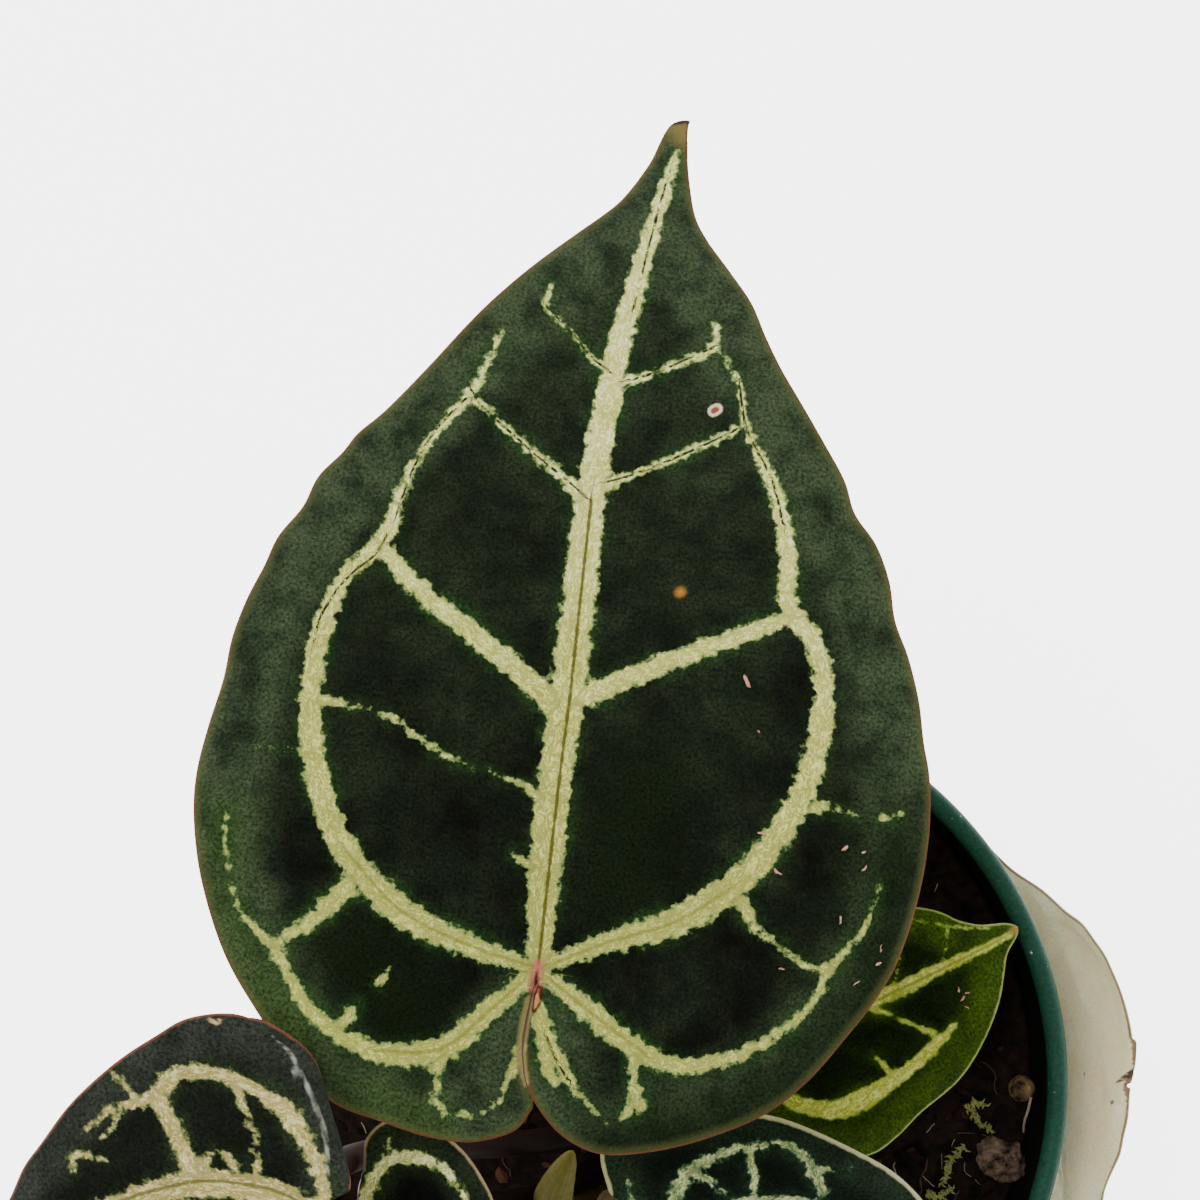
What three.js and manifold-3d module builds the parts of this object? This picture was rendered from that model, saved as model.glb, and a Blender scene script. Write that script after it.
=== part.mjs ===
// A potted Anthurium clarinervium: six heart-shaped leaves and a new spear on a short stem, in a nursery pot.
// Millimetres, +Z up. The origin is the centre of the pot's flat base.
import * as THREE from 'three';
import { mergeVertices } from 'three/addons/utils/BufferGeometryUtils.js';
import Module from 'manifold-3d';

const wasm = await Module();
wasm.setup();

// ---- Driving dimensions -------------------------------------------------------------------------------

const GAP = 0.35; // clearance between neighbouring pieces
const FINEST = 0.04; // edges shorter than this, left where solids are joined or cut, are drawn together

// Pot: a thin-walled, tapered nursery pot with a collar and a rolled rim.
const RIM_RADIUS = 76;
const RIM_HEIGHT = 110;
const ROLL_RADIUS = 2;
const COLLAR_RADIUS = 74;
const COLLAR_FOOT = 98;
const WALL_TOP_RADIUS = 72.4;
const BASE_RADIUS = 53;
const BASE_CHAMFER = 2;
const WALL = 1.7;
const FLOOR = 2;
const POT_SIDES = 48;
const HOLE_COUNT = 8;
const HOLE_RADIUS = 4;

// Potting mix: fills the pot to a little below its rim, with a lumpy top.
const MIX_LEVEL = 98;
const MIX_CROWN = 3;
const MIX_LUMP = 1.3;
const MIX_RINGS = 7;

// Stem: a short upright stem, with a stub for each petiole that grows from it.
const STEM = new THREE.Vector2(-2.5, -3);
const STEM_RADIUS = 7;
const STEM_FOOT = 60;
const STEM_TOP = 112;
const STUB_LENGTH = 14;
const STUB_RADIUS = 2.9;

// Leaves: thickness of a blade, and how far a rib stands out of each face.
const BLADE = 0.8;
const RIB_RISE = 0.55;
const RIB_SUNK = 0.1; // the same on a face a rib does not stand out of: under the blade's surface
const RIB_END = 0.7; // share of its height that a rib keeps at its ends, so it runs into the rib it meets
const RIB_STEP = 11;
const PETIOLE_RADIUS = 2.3;
const HUB_RADIUS = 2.6;
const HUB_RISE = 0.7; // how far the hub, where all ribs meet, stands out of each face
const KNEE_SWELL = 0.5; // extra radius where the petiole meets the blade
const HANG_START = -3.5; // where the lobes of a hanging leaf start to bend, behind the petiole
const HANG_LIMIT = 1.75; // steepest bend of a hanging lobe, in radians
const LAP_START = 0.76; // share of the margin, from the tip, past which overlapping lobes part

// Finishes.
const finish = (color, roughness) => new THREE.MeshStandardMaterial({ color, roughness, metalness: 0 });
const MATERIALS = {
  pot: finish('#2a6450', 0.4),
  mix: finish('#1d1310', 0.95),
  stem: finish('#4a3a22', 0.8),
  sheath: finish('#7a6a4c', 0.8),
  petiole: finish('#3a1613', 0.5),
  darkLeaf: finish('#2a3824', 0.6),
  youngLeaf: finish('#7a8930', 0.5),
  oldLeaf: finish('#c0bba6', 0.6),
  spear: finish('#8d8a3c', 0.5),
  clay: finish('#a98563', 0.8),
  bark: finish('#4b3a2c', 0.9),
};

// ---- Leaf shapes ---------------------------------------------------------------------------------------
// A blade is drawn flat in its own plane: u across, v towards the tip, with the petiole joining at (0, 0).
// Each side is an outline from the notch between the lobes round to the tip.

const MAIN_LEFT = [
  [3, -21], [0, -25.5], [-7, -28], [-20, -26.7], [-34, -21], [-45, -9], [-53.5, 5], [-57.3, 20], [-56, 37],
  [-52.5, 54], [-47.5, 67], [-39, 82], [-29, 99], [-17, 115], [-8, 127], [-4, 136], [-1, 144.7],
];
const MAIN_RIGHT = [
  [0, -13], [1.5, -18], [6, -23], [15, -26], [31.5, -20.5], [44, -10], [53, 5], [56.6, 22], [54.5, 40],
  [49.5, 56], [42.5, 71], [33, 86.5], [21, 104], [10, 119], [4, 127], [1.5, 138], [-1, 144.7],
];
const BROAD_SIDE = [
  [1, -7.5], [4, -11], [10, -12.5], [17, -12], [23.5, -9], [28.5, -3.5], [30, 4], [27.2, 12.3], [23.5, 18],
  [17.5, 28], [11, 39], [4.5, 52], [1.5, 59], [0, 64],
];
const ROUND_SIDE = [
  [2, -10.5], [4, -16], [9, -18.4], [17.4, -14.1], [22.4, -6.4], [24.8, 3], [24, 13], [20.5, 25], [14.5, 36],
  [7.5, 45], [2.5, 50], [0, 54],
];
const ROUND_OPEN_SIDE = [
  [8, -7], [9.5, -12], [13, -15.2], [18, -13.5], [22.4, -6.4], [24.8, 3], [24, 13], [20.5, 25], [14.5, 36],
  [7.5, 45], [2.5, 50], [0, 54],
];
const WIDE_SIDE = [
  [-1.5, -11.5], [2.5, -18], [8, -19.2], [16, -16.5], [24, -8], [30, 2], [33.5, 13], [35, 26], [32, 41],
  [24, 55], [13, 67], [4.5, 73], [0, 78],
];
const WIDE_SHORT_SIDE = [
  [3, -9], [7, -13.2], [15, -13], [23.5, -7], [30, 2], [33.5, 13], [35, 26], [32, 41], [24, 55], [13, 67],
  [4.5, 73], [0, 78],
];
const YOUNG_SIDE = [
  [1, -6], [5, -9.5], [13, -9], [21, -3], [26, 8], [24.5, 17], [20, 29], [14, 38], [7, 45], [2.5, 49],
  [0, 52],
];
const OLD_SIDE = [
  [1, -9], [6, -16], [15, -17.5], [24, -10], [29, 4], [30, 22], [27.5, 42], [21.5, 62], [13, 80], [5.5, 93],
  [0, 104],
];

// Ribs of the main leaf, in its own plane. Each has a half-width at its foot and at its end.
const MAIN_RIBS = [
  { from: 2.6, to: 0.9, line: [[0, 0], [-2.4, 32], [-4.6, 74], [-3.6, 106], [-1.3, 139]] },
  {
    from: 2.4,
    to: 1.2,
    line: [[0, 0], [-22.6, 5], [-38.7, 22], [-42.3, 46], [-35.2, 60.5], [-31, 79], [-24, 95]],
  },
  {
    from: 2.4,
    to: 1.2,
    line: [[0, 0], [20.5, 11], [35.8, 32], [36.6, 48], [29.5, 61], [23.2, 82], [13.5, 102]],
  },
  { from: 2, to: 1, line: [[0, 0], [-12.8, -15], [-24, -16.6], [-34, -12], [-41, -4], [-31.3, 5]] },
  { from: 2, to: 1, line: [[0, 0], [9, -5.5], [19.3, -9.5], [31.5, -7.5], [41, 1], [29.5, 14]] },
  { from: 1.5, to: 1.5, line: [[-3, 40], [-19.6, 49], [-35, 60.4]] },
  { from: 1.5, to: 1.5, line: [[-3, 40.5], [9.3, 48], [29.5, 61]] },
  { from: 1.2, to: 1, line: [[-5, 74], [-15.4, 80], [-27.5, 88]] },
  { from: 1.1, to: 1, line: [[-4.6, 76], [8.4, 83.8], [19, 90]] },
];

// Ribs shared by the smaller leaves, as shares of a blade's half-width and length, for the side with u > 0.
const SIDE_RIBS = [
  { from: 1.9, to: 0.9, line: [[0, 0], [0.36, 0.07], [0.66, 0.21], [0.7, 0.37], [0.52, 0.55], [0.3, 0.72]] },
  { from: 1.4, to: 0.8, line: [[0, 0], [0.2, -0.1], [0.45, -0.11], [0.68, 0], [0.64, 0.2]] },
  { from: 1.2, to: 1.1, line: [[0, 0.24], [0.35, 0.32], [0.69, 0.38]] },
  { from: 1, to: 0.9, line: [[0, 0.5], [0.22, 0.57], [0.46, 0.6]] },
];
const MIDRIB = { from: 2.1, to: 0.7, line: [[0, 0], [0, 0.45], [0, 0.94]] };

const mirrored = (side) => side.map(([u, v]) => [-u, v]);

// A leaf's base is where its petiole joins, and its tip is where the outline ends. Roll turns it about the
// line between them. Arch, fold, curl and bend are how far, in millimetres, it bows up along its length,
// lifts beside the midrib, turns down at the margin and bows sideways. Hang is the radius its lobes bend by.
const LEAVES = [
  {
    name: 'main_leaf', finish: 'darkLeaf', base: [-24.1, 35.7, 205], tip: [0, 174, 170], roll: 0,
    arch: 8, fold: 0.1, curl: 6, bend: 0, hang: 0, wave: 1.1, waves: 8, lap: 1.6,
    left: MAIN_LEFT, right: MAIN_RIGHT, ribs: MAIN_RIBS, ribFaces: [true, true], rays: 22, rings: 5,
    foot: { turn: 115, rise: 50, height: 107 }, reach: [45, 30],
  },
  {
    name: 'left_leaf', finish: 'darkLeaf', base: [-58, 2.1, 224], tip: [-112.9, -18.5, 210], roll: -10,
    arch: 8, fold: 0.06, curl: 2, bend: 7.5, hang: 3, wave: 0.6, waves: 5, lap: 0,
    left: mirrored(BROAD_SIDE), right: BROAD_SIDE, sideRibs: 4, ribFaces: [true, false], rays: 11, rings: 4,
    foot: { turn: 194, rise: 48, height: 109 }, reach: [30, 55], arrive: [0.08, -0.08, 0.99],
  },
  {
    name: 'front_leaf', finish: 'darkLeaf', base: [-54.8, -10.3, 190], tip: [-54.8, -63, 176], roll: 0,
    arch: 4, fold: 0.1, curl: 2, bend: 0, hang: 0, wave: 0.6, waves: 5, lap: 0,
    left: mirrored(ROUND_SIDE), right: ROUND_OPEN_SIDE,
    sideRibs: 4, ribFaces: [true, false], rays: 11, rings: 4,
    foot: { turn: 222, rise: 44, height: 105 }, reach: [35, 28],
  },
  {
    name: 'right_leaf', finish: 'darkLeaf', base: [-3.1, -16.9, 160], tip: [51.6, -68.8, 140], roll: 0,
    arch: 6, fold: 0.1, curl: 3, bend: 0, hang: 0, wave: 0.8, waves: 6, lap: 0,
    left: mirrored(WIDE_SIDE), right: WIDE_SHORT_SIDE,
    sideRibs: 4, ribFaces: [true, false], rays: 11, rings: 4,
    foot: { turn: 295, rise: 50, height: 106 }, reach: [20, 20],
  },
  {
    name: 'young_leaf', finish: 'youngLeaf', base: [17.7, 8.6, 120], tip: [64.1, 31.5, 122], roll: 0,
    arch: 4, fold: 0.12, curl: 3, bend: 0, hang: 0, wave: 0.5, waves: 5, lap: 0,
    left: mirrored(YOUNG_SIDE), right: YOUNG_SIDE, sideRibs: 4, ribFaces: [true, false], rays: 10, rings: 4,
    foot: { turn: 35, rise: 20, height: 105 }, reach: [7, 7],
  },
  {
    name: 'old_leaf', finish: 'oldLeaf', base: [78, -42, 92], tip: [54, 58, 62], roll: -115,
    arch: 12, fold: 0.04, curl: 2, bend: 0, hang: 0, wave: 1.4, waves: 5, lap: 0,
    left: mirrored(OLD_SIDE), right: OLD_SIDE, sideRibs: 2, ribFaces: [false, true], rays: 11, rings: 4,
    foot: { turn: 332, rise: 42, height: 104 }, reach: [45, 38], arrive: [0.23, -0.07, -0.97],
  },
];

const SPEAR = { foot: { turn: 257, rise: 46, height: 104 }, tip: [-43, -25, 162], radius: 2.7 };

// ---- Solids ----------------------------------------------------------------------------------------------

function toSolid(geometry) {
  const bare = geometry.clone();
  bare.deleteAttribute('normal');
  bare.deleteAttribute('uv');
  const merged = mergeVertices(bare, 1e-4);
  const vertProperties = new Float32Array(merged.attributes.position.array);
  const triVerts = new Uint32Array(merged.index.array);
  return new wasm.Manifold(new wasm.Mesh({ numProp: 3, vertProperties, triVerts }));
}

// The largest body of a solid: hollows that the joining seals are filled, and loose scraps are dropped.
function wholeBody(solid) {
  return solid.decompose().sort((a, b) => b.volume() - a.volume())[0];
}

function toGeometry(solid) {
  const mesh = wholeBody(solid.asOriginal().simplify(FINEST)).getMesh();
  const geometry = new THREE.BufferGeometry();
  geometry.setAttribute('position', new THREE.BufferAttribute(mesh.vertProperties.slice(), 3));
  geometry.setIndex(new THREE.BufferAttribute(mesh.triVerts.slice(), 1));
  geometry.computeVertexNormals();
  return geometry;
}

// A closed geometry from points and faces, turned inside out where its faces point inwards.
function closedGeometry(points, faces) {
  let volume = 0;
  for (const [a, b, c] of faces) {
    volume += points[a].dot(points[b].clone().cross(points[c]));
  }
  const index = volume < 0 ? faces.map(([a, b, c]) => [a, c, b]) : faces;
  const geometry = new THREE.BufferGeometry().setFromPoints(points);
  geometry.setIndex(index.flat());
  return geometry;
}

// A closed tube of rings, each ring an even list of points.
function ringTube(rings) {
  const sides = rings[0].length;
  const points = rings.flat();
  const faces = [];
  for (let ring = 0; ring < rings.length - 1; ring++) {
    for (let side = 0; side < sides; side++) {
      const next = (side + 1) % sides;
      const [a, b] = [ring * sides + side, ring * sides + next];
      faces.push([a, b, b + sides], [a, b + sides, a + sides]);
    }
  }
  // The ends are zipped across from point to opposite point, which suits round and trough-shaped rings alike.
  const last = (rings.length - 1) * sides;
  for (let side = 0; side < sides / 2 - 1; side++) {
    const opposite = sides - 1 - side;
    for (const [a, b, c] of [[side, side + 1, opposite - 1], [side, opposite - 1, opposite]]) {
      faces.push([a, c, b], [last + a, last + b, last + c]);
    }
  }
  return closedGeometry(points, faces);
}

// A round, tapering tube along a curve.
function taperedTube(curve, steps, sides, radiusAt) {
  const { normals, binormals } = curve.computeFrenetFrames(steps, false);
  const rings = [];
  for (let step = 0; step <= steps; step++) {
    const centre = curve.getPointAt(step / steps);
    const radius = radiusAt(step / steps);
    const ring = [];
    for (let side = 0; side < sides; side++) {
      const angle = (side / sides) * 2 * Math.PI;
      ring.push(centre.clone()
        .addScaledVector(normals[step], radius * Math.cos(angle))
        .addScaledVector(binormals[step], radius * Math.sin(angle)));
    }
    rings.push(ring);
  }
  return ringTube(rings);
}

// ---- Leaf geometry ---------------------------------------------------------------------------------------

function leafFrame(leaf) {
  const base = new THREE.Vector3(...leaf.base);
  const along = new THREE.Vector3(...leaf.tip).sub(base);
  const length = along.length();
  along.normalize();
  const across = along.clone().cross(new THREE.Vector3(0, 0, 1)).normalize();
  across.applyAxisAngle(along, THREE.MathUtils.degToRad(-leaf.roll));
  const up = across.clone().cross(along);
  return { base, along, across, up, length };
}

function sideCurve(side) {
  return new THREE.CatmullRomCurve3(side.map(([u, v]) => new THREE.Vector3(u, v, 0)), false, 'centripetal');
}

// Where a point of the blade's plane lies in space, raised by lift from the blade's middle surface. Share is
// how far the point lies between the petiole (0) and the margin (1), and turn is its place round the margin.
function bladePoint(leaf, frame, u, v, share, turn, lift) {
  // The lobes of a hanging leaf bend down round a line across the blade, just behind the petiole.
  let place = v;
  let drop = 0;
  let tilt = 0;
  const past = HANG_START - v;
  if (leaf.hang > 0 && past > 0) {
    tilt = Math.min(past / leaf.hang, HANG_LIMIT);
    const rest = past - leaf.hang * tilt;
    place = HANG_START - leaf.hang * Math.sin(tilt) - rest * Math.cos(tilt);
    drop = leaf.hang * (1 - Math.cos(tilt)) + rest * Math.sin(tilt);
  }
  const run = place / frame.length;
  const bow = 4 * run * (1 - run);
  let rise = leaf.arch * bow + leaf.fold * (Math.hypot(u, 3) - 3) - drop;
  rise -= leaf.curl * (Math.abs(u) / leaf.halfWidth) ** 3;
  rise += leaf.wave * share ** 3 * Math.sin(2 * Math.PI * leaf.waves * turn + 1);
  const lapping = Math.max(0, Math.abs(2 * turn - 1) - LAP_START) / (1 - LAP_START);
  rise += leaf.lap * share * Math.sign(turn - 0.5) * lapping;
  return frame.base.clone()
    .addScaledVector(frame.across, u + leaf.bend * Math.max(0, bow))
    .addScaledVector(frame.along, place - lift * Math.sin(tilt))
    .addScaledVector(frame.up, rise + lift * Math.cos(tilt));
}

// One half of a blade: a fan of rings about the petiole, between an outline and the same fan underneath.
function halfBlade(leaf, frame, side, turnAt) {
  const curve = sideCurve(side);
  const points = [];
  const faces = [];
  const layer = leaf.rings * (leaf.rays + 1) + 1;
  for (const lift of [BLADE / 2, -BLADE / 2]) {
    points.push(bladePoint(leaf, frame, 0, 0, 0, 0.5, lift));
    for (let ray = 0; ray <= leaf.rays; ray++) {
      const edge = curve.getPointAt(ray / leaf.rays);
      const turn = turnAt(ray / leaf.rays);
      for (let ring = 1; ring <= leaf.rings; ring++) {
        const share = ring / leaf.rings;
        points.push(bladePoint(leaf, frame, edge.x * share, edge.y * share, share, turn, lift));
      }
    }
  }
  const at = (ray, ring) => (ring === 0 ? 0 : 1 + ray * leaf.rings + ring - 1);
  for (let ray = 0; ray < leaf.rays; ray++) {
    for (let ring = 0; ring < leaf.rings; ring++) {
      const [a, b, c, d] = [at(ray, ring), at(ray, ring + 1), at(ray + 1, ring + 1), at(ray + 1, ring)];
      const pair = ring === 0 ? [[a, b, c]] : [[a, b, c], [a, c, d]];
      for (const [p, q, r] of pair) {
        faces.push([p, q, r], [p + layer, r + layer, q + layer]);
      }
    }
    const [a, b] = [at(ray, leaf.rings), at(ray + 1, leaf.rings)];
    faces.push([a, a + layer, b + layer], [a, b + layer, b]);
  }
  for (let ring = 0; ring < leaf.rings; ring++) {
    const [a, b] = [at(0, ring), at(0, ring + 1)];
    const [c, d] = [at(leaf.rays, ring), at(leaf.rays, ring + 1)];
    faces.push([a, b + layer, b], [a, a + layer, b + layer]);
    faces.push([c, d, d + layer], [c, d + layer, c + layer]);
  }
  return toSolid(closedGeometry(points, faces));
}

// A rib: a slim diamond section along a line of the blade, standing out of both faces.
function rib(leaf, frame, { from, to, line }) {
  const curve = sideCurve(line);
  const steps = Math.max(2, Math.round(curve.getLength() / RIB_STEP));
  const [top, bottom] = leaf.ribFaces.map((standing, face) => (
    (face === 0 ? 1 : -1) * (standing ? BLADE / 2 + RIB_RISE : RIB_SUNK)
  ));
  const rings = [];
  for (let step = 0; step <= steps; step++) {
    const run = step / steps;
    const { x: u, y: v } = curve.getPointAt(run);
    const heading = curve.getTangentAt(run);
    const half = from + (to - from) * run;
    const height = step === 0 || step === steps ? RIB_END : 1;
    const place = (offset, lift) => {
      const [pu, pv] = [u - heading.y * offset, v + heading.x * offset];
      return bladePoint(leaf, frame, pu, pv, 0, 0.5, lift * height);
    };
    rings.push([place(half, 0), place(0, top), place(-half, 0), place(0, bottom)]);
  }
  return toSolid(ringTube(rings));
}

function ribsOf(leaf, frame) {
  if (leaf.ribs) {
    return leaf.ribs;
  }
  const scaled = (plan, sign) => ({
    ...plan,
    line: plan.line.map(([across, along]) => [sign * across * leaf.halfWidth, along * frame.length]),
  });
  const pairs = SIDE_RIBS.slice(0, leaf.sideRibs).flatMap((plan) => [scaled(plan, 1), scaled(plan, -1)]);
  return [scaled(MIDRIB, 1), ...pairs];
}

// The swollen point where all ribs meet over the petiole.
function hub(leaf, frame) {
  const rings = [-1, 1].map((side) => {
    const lift = side * (BLADE / 2 + HUB_RISE);
    return Array.from({ length: 8 }, (_, index) => {
      const angle = (index / 8) * 2 * Math.PI;
      return bladePoint(leaf, frame, 0, 0, 0, 0.5, lift)
        .addScaledVector(frame.across, HUB_RADIUS * Math.cos(angle))
        .addScaledVector(frame.along, HUB_RADIUS * Math.sin(angle));
    });
  });
  return toSolid(ringTube(rings));
}

function bladeGeometry(leaf, frame) {
  let blade = halfBlade(leaf, frame, leaf.left, (run) => 0.5 * run);
  blade = blade.add(halfBlade(leaf, frame, leaf.right, (run) => 1 - 0.5 * run));
  blade = blade.add(hub(leaf, frame));
  for (const plan of ribsOf(leaf, frame)) {
    blade = blade.add(rib(leaf, frame, plan));
  }
  return toGeometry(blade);
}

// ---- Stem, petioles and sheaths --------------------------------------------------------------------------

// The direction a petiole leaves the stem in, and the point at a distance along it from the stem's axis.
function footOf({ turn, rise, height }, distance) {
  const [a, e] = [THREE.MathUtils.degToRad(turn), THREE.MathUtils.degToRad(rise)];
  const heading = new THREE.Vector3(Math.cos(a) * Math.cos(e), Math.sin(a) * Math.cos(e), Math.sin(e));
  return { heading, point: new THREE.Vector3(STEM.x, STEM.y, height).addScaledVector(heading, distance) };
}

function petioleGeometry(leaf, frame) {
  const { heading, point } = footOf(leaf.foot, STUB_LENGTH + GAP);
  const [lead, approach] = leaf.reach;
  const arrival = leaf.arrive ? new THREE.Vector3(...leaf.arrive).normalize() : frame.up;
  const slant = (PETIOLE_RADIUS + KNEE_SWELL) * Math.sin(arrival.angleTo(frame.up));
  const end = bladePoint(leaf, frame, 0, 0, 0, 0.5, -(BLADE / 2 + HUB_RISE + GAP + slant));
  const curve = new THREE.CubicBezierCurve3(
    point,
    point.clone().addScaledVector(heading, lead),
    end.clone().addScaledVector(arrival, -approach),
    end,
  );
  const steps = Math.max(6, Math.round(curve.getLength() / 9));
  const radiusAt = (run) => {
    const taper = PETIOLE_RADIUS + 0.4 - 0.6 * run;
    return taper + KNEE_SWELL * Math.exp(-(((1 - run) * steps) ** 2));
  };
  return taperedTube(curve, steps, 8, radiusAt);
}

function stemGeometry(feet) {
  const profile = [
    [0, STEM_FOOT], [STEM_RADIUS * 0.6, STEM_FOOT + 1],
    [STEM_RADIUS, STEM_FOOT + 8], [STEM_RADIUS, STEM_TOP - 5],
    [STEM_RADIUS * 0.75, STEM_TOP - 1.5], [0, STEM_TOP],
  ];
  const body = new THREE.LatheGeometry(profile.map(([x, y]) => new THREE.Vector2(x, y)), 16);
  body.rotateX(Math.PI / 2);
  body.translate(STEM.x, STEM.y, 0);
  let stem = toSolid(body);
  for (const foot of feet) {
    const line = new THREE.LineCurve3(footOf(foot, 0).point, footOf(foot, STUB_LENGTH).point);
    stem = stem.add(toSolid(taperedTube(line, 2, 8, (run) => STUB_RADIUS + 0.9 * (1 - run))));
  }
  return toGeometry(stem);
}

// A pointed, trough-shaped papery sheath along a curve, open on one side.
function sheathGeometry(curve, radius, opening, steps) {
  const arcSteps = 6;
  const { normals, binormals } = curve.computeFrenetFrames(steps, false);
  const rings = [];
  for (let step = 0; step <= steps; step++) {
    const run = step / steps;
    const centre = curve.getPointAt(run);
    const spread = (Math.PI / 2) * (1 - 0.75 * run ** 2);
    const arc = (reach, sign) => Array.from({ length: arcSteps + 1 }, (_, index) => {
      const angle = opening + sign * spread * (2 * index / arcSteps - 1);
      return centre.clone()
        .addScaledVector(normals[step], reach * Math.cos(angle))
        .addScaledVector(binormals[step], reach * Math.sin(angle));
    });
    rings.push([...arc(radius + BLADE, 1), ...arc(radius, -1)]);
  }
  return ringTube(rings);
}

// ---- Pot and potting mix ---------------------------------------------------------------------------------

const innerRadiusAt = (z) => {
  const share = (z - BASE_CHAMFER) / (COLLAR_FOOT - BASE_CHAMFER);
  const outer = BASE_RADIUS + (WALL_TOP_RADIUS - BASE_RADIUS) * share;
  return outer - WALL;
};

function potGeometry() {
  const rollCentre = new THREE.Vector2(RIM_RADIUS - ROLL_RADIUS, RIM_HEIGHT - ROLL_RADIUS);
  const profile = [
    [0, 0], [BASE_RADIUS - BASE_CHAMFER, 0], [BASE_RADIUS, BASE_CHAMFER], [WALL_TOP_RADIUS, COLLAR_FOOT],
    [COLLAR_RADIUS - 0.6, COLLAR_FOOT + 1.2],
  ];
  const rollSteps = 5;
  for (let step = 0; step <= rollSteps; step++) {
    const angle = THREE.MathUtils.degToRad(-100 + (280 * step) / rollSteps);
    profile.push([rollCentre.x + ROLL_RADIUS * Math.cos(angle), rollCentre.y + ROLL_RADIUS * Math.sin(angle)]);
  }
  profile.push([COLLAR_RADIUS - WALL, COLLAR_FOOT + 1.8], [innerRadiusAt(COLLAR_FOOT - 1), COLLAR_FOOT - 1]);
  profile.push([innerRadiusAt(FLOOR), FLOOR], [0, FLOOR]);
  const body = new THREE.LatheGeometry(profile.map(([x, y]) => new THREE.Vector2(x, y)), POT_SIDES);
  body.rotateX(Math.PI / 2);
  let pot = toSolid(body);
  for (let hole = 0; hole < HOLE_COUNT; hole++) {
    const drill = new THREE.CylinderGeometry(HOLE_RADIUS, HOLE_RADIUS, 16, 8);
    drill.rotateZ(Math.PI / 2);
    drill.rotateY(Math.PI / 4);
    drill.translate(BASE_RADIUS - 1, 0, 0.5);
    drill.rotateZ(((hole + 0.5) / HOLE_COUNT) * 2 * Math.PI);
    pot = pot.subtract(toSolid(drill));
  }
  return toGeometry(pot);
}

// Repeatable scatter between -1 and 1 for a pair of whole numbers.
function scatter(a, b) {
  const value = Math.sin(a * 12.9898 + b * 78.233) * 43758.5453;
  return 2 * (value - Math.floor(value)) - 1;
}

function mixGeometry() {
  const points = [new THREE.Vector3(0, 0, MIX_LEVEL + MIX_CROWN)];
  const faces = [];
  const edge = innerRadiusAt(MIX_LEVEL) - GAP;
  for (let ring = 1; ring <= MIX_RINGS; ring++) {
    for (let side = 0; side < POT_SIDES / 2; side++) {
      const last = ring === MIX_RINGS;
      const share = ring / MIX_RINGS;
      const angle = (side / (POT_SIDES / 2)) * 2 * Math.PI;
      const lump = last ? 0 : MIX_LUMP * scatter(ring, side);
      const z = MIX_LEVEL + MIX_CROWN * (1 - share ** 2) + lump;
      points.push(new THREE.Vector3(edge * share * Math.cos(angle), edge * share * Math.sin(angle), z));
    }
  }
  const bottom = innerRadiusAt(FLOOR) - GAP;
  for (let side = 0; side < POT_SIDES / 2; side++) {
    const angle = (side / (POT_SIDES / 2)) * 2 * Math.PI;
    points.push(new THREE.Vector3(bottom * Math.cos(angle), bottom * Math.sin(angle), FLOOR + GAP));
  }
  points.push(new THREE.Vector3(0, 0, FLOOR + GAP));
  const sides = POT_SIDES / 2;
  for (let side = 0; side < sides; side++) {
    const next = (side + 1) % sides;
    faces.push([0, 1 + side, 1 + next]);
    for (let ring = 0; ring < MIX_RINGS; ring++) {
      const [a, b] = [1 + ring * sides + side, 1 + ring * sides + next];
      faces.push([a, a + sides, b + sides], [a, b + sides, b]);
    }
    const foot = 1 + MIX_RINGS * sides;
    faces.push([points.length - 1, foot + next, foot + side]);
  }
  return closedGeometry(points, faces);
}

// Loose lumps that lie a little sunk in the mix: a ball, and a chunk of bark.
const CLAY_BALL = { centre: [67, -3.4, 99.6], size: [2.8, 2.8, 2.8] };
const BARK_LUMP = { centre: [62.6, -17, 99.4], size: [5, 4, 3] };

function lumpGeometry({ centre, size }, grow, rough) {
  const lump = new THREE.SphereGeometry(1, 12, 8);
  const position = lump.attributes.position;
  for (let index = 0; index < position.count; index++) {
    const point = new THREE.Vector3().fromBufferAttribute(position, index);
    const wobble = 1 + rough * Math.sin(5 * point.x + 1) * Math.cos(4 * point.y) * Math.cos(3 * point.z);
    position.setXYZ(index, point.x * (size[0] * wobble + grow), point.y * (size[1] * wobble + grow),
      point.z * (size[2] * wobble + grow));
  }
  lump.rotateZ(0.4);
  lump.translate(...centre);
  return lump;
}

// ---- Assembly --------------------------------------------------------------------------------------------

const plant = new THREE.Group();

function addPiece(name, geometry, material) {
  const mesh = new THREE.Mesh(geometry, MATERIALS[material]);
  mesh.name = name;
  plant.add(mesh);
}

addPiece('pot', potGeometry(), 'pot');

const stemHole = new THREE.CylinderGeometry(STEM_RADIUS + GAP, STEM_RADIUS + GAP, MIX_LEVEL, 16);
stemHole.rotateX(Math.PI / 2);
stemHole.translate(STEM.x, STEM.y, STEM_FOOT - GAP + MIX_LEVEL / 2);
let mix = toSolid(mixGeometry()).subtract(toSolid(stemHole));
for (const [lump, rough] of [[CLAY_BALL, 0], [BARK_LUMP, 0.25]]) {
  mix = mix.subtract(toSolid(lumpGeometry(lump, GAP, rough)));
}
addPiece('potting_mix', toGeometry(mix), 'mix');
addPiece('clay_ball', lumpGeometry(CLAY_BALL, 0, 0), 'clay');
addPiece('bark_lump', lumpGeometry(BARK_LUMP, 0, 0.25), 'bark');

addPiece('stem', stemGeometry([...LEAVES.map((leaf) => leaf.foot), SPEAR.foot]), 'stem');

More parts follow.
